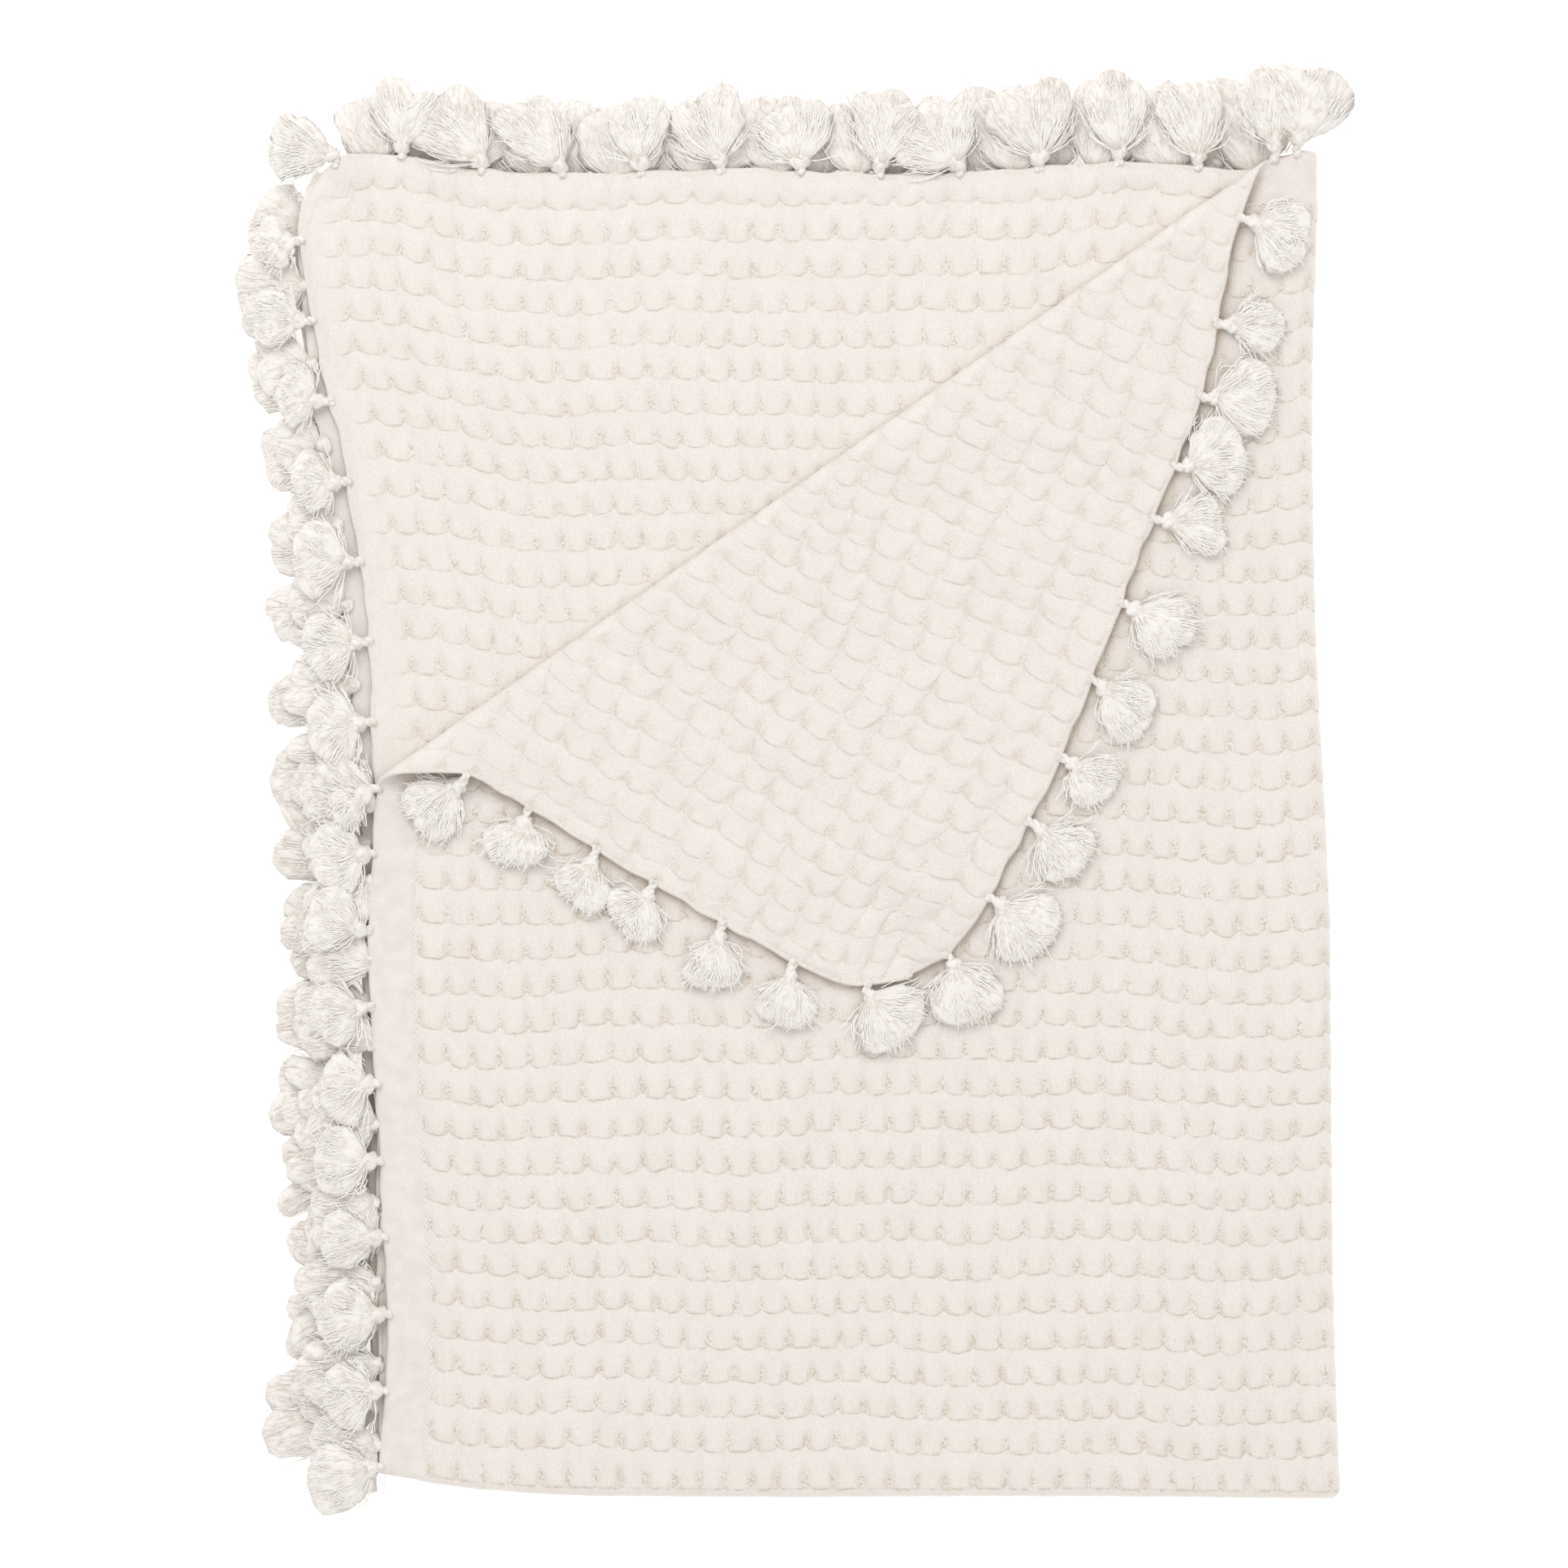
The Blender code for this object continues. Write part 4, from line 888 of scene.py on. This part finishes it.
class Yarns:
    """Collects closed tubes that are joined into one mesh."""

    def __init__(self):
        self.points, self.faces, self.flats, self.tones, self.smooth, self.count = [], [], [], [], [], 0

    def add_tubes(self, rings, tone, length, ridges=1, smooth=True):
        """Tubes from an array of (tube, ring, point round the ring, xyz), closed with a face at each end.

        The flat coordinates run from 0 to ridges round the tube and from 0 to length along it.
        """
        tubes, stations, sides, _ = rings.shape
        index = np.arange(tubes * stations * sides).reshape(tubes, stations, sides) + self.count
        following = np.roll(index, -1, axis=2)
        walls = np.stack((index[:, :-1], following[:, :-1], following[:, 1:], index[:, 1:]), axis=-1)
        made = walls.reshape(-1, 4).tolist() + index[:, 0, ::-1].tolist() + index[:, -1].tolist()
        self.faces += made
        self.smooth.append(np.full(len(made), smooth))
        self.points.append(rings.reshape(-1, 3))
        around = np.broadcast_to(np.arange(sides) / sides * ridges, (tubes, stations, sides))
        along = np.broadcast_to(np.linspace(0, length, stations)[None, :, None], around.shape)
        self.flats.append(np.stack((around / MM, along), axis=-1).reshape(-1, 2))
        self.tones.append(np.broadcast_to(tone, (tubes, stations, sides)).ravel())
        self.count += index.size

    def finish(self, name, nodes):
        """One piece of all the tubes, on the shared swell, that stands for the CAD model's nodes."""
        piece = join_shapes(name, swell(np.concatenate(self.points)), self.faces, np.concatenate(self.flats),
                            {"tone": np.concatenate(self.tones)}, YARN, smooth=np.concatenate(self.smooth))
        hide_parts(*nodes)
        return piece


def rings_round(centres, radii, sides, squash=1.0, phase=0.0):
    """Rings round centre lines: cosine of the angle sideways, sine upwards, times each station's radius."""
    ahead = np.gradient(centres, axis=1)
    ahead /= np.linalg.norm(ahead, axis=-1, keepdims=True) + 1e-9
    sideways = np.cross(np.array((0.0, 0.0, 1.0)), ahead)
    sideways /= np.linalg.norm(sideways, axis=-1, keepdims=True) + 1e-9
    upwards = np.cross(ahead, sideways)
    angle = 2 * math.pi * np.arange(sides) / sides + phase
    width = radii[..., None, None] * np.cos(angle)[:, None]
    rise = radii[..., None, None] * np.sin(angle)[:, None] * squash
    return centres[:, :, None] + sideways[:, :, None] * width + upwards[:, :, None] * rise


def make_tassel(yarns, layer, side, place, heading, length, fan, body_z, form, rng):
    """Neck of two twisted yarns, lumpy knot, and a puffed skirt of wavy yarns that hang together in tufts."""
    neck, length = form.neck, length * form.reach * rng.uniform(*LENGTH_VARIES)
    line = flat_line(side, place)
    start, beyond = (place_on_stack(layer, *np.array((PANEL_WIDTH + out, line) if side == "left" else
                                                     (line, PANEL_HEIGHT + out)), 0.0)
                     for out in (-ROOT_INSIDE, ROOT_OUTSIDE))
    out = (beyond - start) * (1, 1, 0)
    out /= np.linalg.norm(out)
    edge = start + out * ROOT_INSIDE
    turn = math.radians(heading + rng.normal(0, 1) * form.stray)
    ahead = np.array((math.cos(turn), math.sin(turn), 0.0))
    across = np.array((-ahead[1], ahead[0], 0.0))
    bend, head = rng.uniform(*BEND), rng.uniform(*KNOT_LENGTH)

    def along(distance, sideways=0.0, up=0.0):
        """Points beside the tassel's line: straight out of the hem, then on its heading, slightly bent."""
        distance, sideways, up = np.broadcast_arrays(distance, sideways, up)
        straight = np.clip(distance, -ROOT_INSIDE, 2.0)
        further = distance - straight
        settle = smooth_step(distance, 0.0, neck + head * 0.4)
        flat = edge + out * straight[..., None] + ahead * further[..., None]
        flat = flat + across * (sideways + bend * further ** 2 / length)[..., None]
        flat[..., 2] = edge[2] + (body_z - edge[2]) * settle + up
        return flat

    # Neck: two yarns twisted round each other across the hem's edge
    s = np.linspace(-ROOT_INSIDE, neck + 1.2, 9)[None, :]
    both = np.array((0.0, 1.0))[:, None]
    twist = rng.uniform(0.7, 1.2) * s + math.pi * both + rng.uniform(0, 6)
    lift = np.where(s < 0, 1.3, 0.3) + 0.6 * np.sin(twist)
    thick = rng.uniform(1.05, 1.40) + 0.18 * np.sin(2.6 * s + 2.0 * both + rng.uniform(0, 6))
    necks = rings_round(along(s, 0.8 * np.cos(twist), lift), thick, 7)
    yarns.add_tubes(necks, rng.uniform(0.90, 0.98), 8.0, ridges=4)

    # Knot: rings whose radius swells and shrinks along it, with three lumps that wind round it
    share = np.linspace(0, 1, KNOT_RINGS)
    centre = along(neck - 1.2 + share * (head + 0.6))[None]
    radius = rng.uniform(*KNOT_RADIUS) * np.sin(math.pi * (0.10 + 0.78 * share)) ** 0.55
    rings = rings_round(centre, radius[None], KNOT_SIDES, squash=KNOT_FLATNESS)
    angle = 2 * math.pi * np.arange(KNOT_SIDES) / KNOT_SIDES
    lumps = 1 + KNOT_LUMPS * np.cos(3 * angle[None] + 7.5 * share[:, None] + rng.uniform(0, 6.3))
    rings = centre[:, :, None] + (rings - centre[:, :, None]) * lumps[None, :, :, None]
    yarns.add_tubes(rings, 0.96, 9.0, ridges=9)

    # Skirt: locks fanned out side by side, one laid over the next
    skirt_start = neck + head - 3.0
    skirt = length - skirt_start
    half_fan = fan / 2 * rng.uniform(*form.width)
    fan_angle = form.spread * math.atan2(0.55 * half_fan, 0.75 * skirt)
    height = 0.35 * rng.permutation(LOCKS)
    for k in range(LOCKS):
        aim = (k - LOCKS // 2) * fan_angle + rng.normal(0, 0.10)
        curl = rng.normal(0, 0.14)

        def beside(distance, sideways=0.0, up=0.0):
            """Points beside the lock's line, which leaves the knot at its own angle and curls a little."""
            sideways = sideways + curl * distance * np.abs(distance) / skirt
            return along(skirt_start + distance * math.cos(aim) - sideways * math.sin(aim),
                         distance * math.sin(aim) + sideways * math.cos(aim), up + height[k])

        reach, half_width = skirt * rng.uniform(0.84, 1.03), half_fan * rng.uniform(0.56, 0.80)
        make_lock(yarns, beside, reach, half_width, form, rng)


def make_lock(yarns, beside, reach, half_fan, form, rng):
    """One lock of a skirt: a flat, lumpy puff with a rounded end, and fine yarns that leave it all along.

    beside(distance, sideways, up) gives places along the lock. Each yarn leaves the puff at its own place,
    strays, crosses others and hooks at its end.
    """
    strands, body = form.strands // LOCKS, reach * form.puff

    # Puff: its width grows quickly from the knot and ends round, as the root of 1 - x squared does
    stops = 1 - (1 - np.linspace(0, 1, LOCK_RINGS)) ** 1.3
    round_end = np.sqrt(np.clip(1 - ((stops - ROUND_FROM) / ROUND_LENGTH).clip(0) ** 2, 0.08, 1))
    width = (LOCK_ROOT + (half_fan - LOCK_ROOT) * (1 - (1 - stops) ** form.fullness)) * round_end
    centre = beside(stops * body)[None]
    offset = rings_round(centre, width[None], LOCK_SIDES) - centre[:, :, None]
    offset[..., 2] *= (profile(stops, PUFF_PROFILE) / width)[None, :, None]
    bulge = rng.normal(0, 0.15, (LOCK_RINGS, LOCK_SIDES))
    bulge = (bulge + np.roll(bulge, 1, axis=0) + np.roll(bulge, 1, axis=1)) / 2
    # Tone of the puff: painted shade towards the knot
    tone = 0.98 - 0.35 * np.exp(-stops / 0.12)
    yarns.add_tubes(centre[:, :, None] + offset * (1 + bulge[None, :, :, None]), tone[None, :, None], reach,
                    ridges=4 * half_fan)

    # Yarns: q is each one's place across the lock, share the way down it of each of its points
    q = np.clip(rng.choice(np.linspace(*TUFTS), strands) + rng.normal(0, 0.18, strands), -1.15, 1.15)
    above = np.where(rng.uniform(size=strands) < STRANDS_ABOVE, 1.0, -1.0)[:, None]
    leaves = rng.uniform(0, STRANDS_LEAVE, strands) * (rng.uniform(size=strands) < 0.7)
    ends = np.minimum(leaves + rng.uniform(0.5, 0.85, strands), 1.0)
    t = np.linspace(0, 1, STRAND_STATIONS)[None, :]
    share = leaves[:, None] + (ends - leaves)[:, None] * t
    full = body * (0.55 + 0.47 * np.sqrt(1 - (0.98 * q).clip(-1, 1) ** 2))
    full = full + form.ragged * rng.normal(0.4, 0.9, strands)
    distance = share * full.clip(5.0, reach + 0.8)[:, None]
    spread = 1 - (1 - share) ** (form.fullness - 0.4 + rng.uniform(-0.6, 0.6, strands))[:, None]
    lean = rng.normal(0, 1.9, strands)[:, None] * t ** 1.3
    turns, start_turn = rng.uniform(0.8, 1.7, strands)[:, None], rng.uniform(0, 1, strands)[:, None]
    wave = 2 * math.pi * (t * turns + start_turn)
    hook = rng.normal(0, 1.2, strands)[:, None] * ((t - 0.55) / 0.45).clip(0) ** 2
    sideways = q[:, None] * (LOCK_ROOT + (half_fan - LOCK_ROOT) * spread) + lean
    sideways = sideways + 0.50 * np.sin(wave) * t ** 0.5 + hook
    body_share = (distance / body).clip(0, 1)
    inside = np.clip(sideways / np.interp(body_share, stops, width), -1, 1)
    surface = profile(body_share, PUFF_PROFILE) * np.sqrt(1 - inside ** 2)
    loose = rng.exponential(0.22, strands)[:, None] * t + 0.30 * smooth_step(t, 0, 0.3) - 0.22
    up = above * (surface + loose) + 0.10 * np.cos(wave)
    radii = profile(t, STRAND_RADIUS) * rng.uniform(0.75, 1.15, strands)[:, None]
    # Tone of each yarn: its own at random, with painted shade near its root and where it lies under others
    tone = rng.normal(1.0, 0.03, strands)[:, None] - 0.06 * np.exp(-share / 0.12) - 0.08 * (above < 0)
    rings = rings_round(beside(distance, sideways, up), radii, 3, phase=math.pi / 6)
    yarns.add_tubes(rings, tone.clip(0.4, 1.0)[:, :, None], reach, smooth=False)


def make_tassels():
    """Joined rows on each hem, then the tassels of the turned-back corner and the two beside it."""
    rng = np.random.default_rng(29)
    for name, row in TASSEL_ROWS.items():
        yarns = Yarns()
        step, forms = (-row.pitch, LEFT_FORMS) if row.side == "left" else (row.pitch, TOP_FORMS)
        body_z = SKIRT_THICKNESS / 2 + row.level * PILE_PITCH
        for k, (heading, length) in enumerate(zip(row.headings, row.lengths)):
            place = row.first + step * k
            in_sight = row.level == 2 and row.side == "left" and place > OPEN_HEM_FROM
            form = OPEN_HEM_FORM if in_sight else forms[row.level]
            make_tassel(yarns, row.layer, row.side, place, heading, length, row.fan, body_z, form, rng)
        yarns.finish(name.replace("tassels", "yarns"), [name])
    rest_z = TOP_LAYER_Z + WAFFLE_THICKNESS / 2 + FIT_GAP * 2 + SKIRT_THICKNESS / 2
    for name, group, node in (("yarns_corner", CORNER_TASSELS, "tassel_corner_"),
                              ("yarns_hem", HEM_TASSELS, "tassel_hem_")):
        yarns = Yarns()
        for side, place, heading, length, fan in group:
            make_tassel(yarns, "top", side, place, heading, length, fan, rest_z, CORNER_FORM, rng)
        yarns.finish(name, [f"{node}{number:02d}" for number in range(1, len(group) + 1)])


make_tassels()


# ---------------------------------------------------------------- hem stitches

def zigzag_row(layer, side, first, last):
    """One zigzag stitch row beside a hem's inner edge: a triangle wave across a line parallel to the hem."""
    corners = np.arange(first, last, STITCH_PITCH / 2)
    t = np.repeat(corners, 2)[1:-1] + np.tile((STITCH_BEND, -STITCH_BEND), len(corners) - 1)
    swing = np.interp(t, corners, np.where(np.arange(len(corners)) % 2 == 0, STITCH_SWING, -STITCH_SWING))
    depth = STITCH_DEPTH + swing
    a, b = (PANEL_WIDTH - depth, t) if side == "left" else (t, PANEL_HEIGHT - depth)
    return place_on_stack(layer, a, b, np.full_like(t, -STITCH_HEIGHT))


def make_stitches():
    """Zigzag rows that show: on the top layer's hems as far as they aren't turned back, and underneath."""
    thread = Yarns()
    for layer, side, first, last in STITCH_ROWS:
        centres = zigzag_row(layer, side, first, last)[None]
        radii = np.full(centres.shape[:2], STITCH_RADIUS)
        rings = rings_round(centres, radii, 4, phase=math.pi / 4)
        thread.add_tubes(rings, STITCH_TONE, last - first, smooth=False)
    thread.finish("hem_stitches", ["cloth"])


make_stitches()


# ---------------------------------------------------------------- floor, light and camera

# Half the floor's width, and how far it lies below the blanket, in metres
FLOOR_REACH, FLOOR_DROP = 3, 0.0002

# Lamps: place and size in metres, power in watts, colour
LAMPS = {"key": ((-0.45, 1.35, 1.75), 1.2, 15.8, (1.0, 0.995, 0.99)),
         "fill": ((0.6, -1.4, 2.0), 2.2, 6.0, (1.0, 0.99, 0.98))}

# Photo's frame on the blanket's upper layers: width, middle and height in metres; lens and sensor in mm
FRAME_WIDTH, FRAME_MIDDLE, FRAME_LEVEL = 0.59892, (0.00136, 0.00074), 0.011
LENS, SENSOR_WIDTH = 300.0, 36.0

# Light from all round
WORLD_COLOUR, WORLD_STRENGTH = (1.0, 0.99, 0.98, 1), 0.80


def make_floor():
    """A wide pale floor just under the blanket."""
    finish = Finish("pale_floor", Base_Color=(0.96, 0.96, 0.96, 1), Roughness=0.9,
                    Emission_Color=(1, 1, 1, 1), Emission_Strength=0.45)
    mesh = bpy.data.meshes.new("floor")
    corners = [(x * FLOOR_REACH, y * FLOOR_REACH, 0) for x, y in ((-1, -1), (1, -1), (1, 1), (-1, 1))]
    mesh.from_pydata(corners, [], [(0, 1, 2, 3)])
    mesh.materials.append(finish.material)
    floor = bpy.data.objects.new("floor", mesh)
    floor.location.z = -FLOOR_DROP
    bpy.context.collection.objects.link(floor)


def make_light(name, place, size, power, colour):
    """Soft square light that faces the blanket's middle."""
    data = bpy.data.lights.new(name, "AREA")
    data.shape, data.size, data.energy, data.color = "SQUARE", size, power, colour
    lamp = bpy.data.objects.new(name, data)
    bpy.context.collection.objects.link(lamp)
    lamp.location = place
    lamp.rotation_euler = lamp.location.to_track_quat("Z", "Y").to_euler()


def make_camera():
    """Straight above, as far up as puts the photo's frame on the blanket's upper layers."""
    data = bpy.data.cameras.new("camera")
    data.lens, data.sensor_width = LENS, SENSOR_WIDTH
    data.clip_end = 50.0
    camera = bpy.data.objects.new("camera", data)
    camera.location = (*FRAME_MIDDLE, FRAME_WIDTH * LENS / SENSOR_WIDTH + FRAME_LEVEL)
    bpy.context.collection.objects.link(camera)
    bpy.context.scene.camera = camera


def make_world():
    """Even pale light from all round, shown without a film look."""
    world = bpy.data.worlds.new("studio")
    world.use_nodes = True
    background = world.node_tree.nodes["Background"]
    background.inputs["Color"].default_value = WORLD_COLOUR
    background.inputs["Strength"].default_value = WORLD_STRENGTH
    bpy.context.scene.world = world
    bpy.context.scene.view_settings.view_transform = "Standard"


make_floor()
for lamp_name, settings in LAMPS.items():
    make_light(lamp_name, *settings)
make_camera()
make_world()
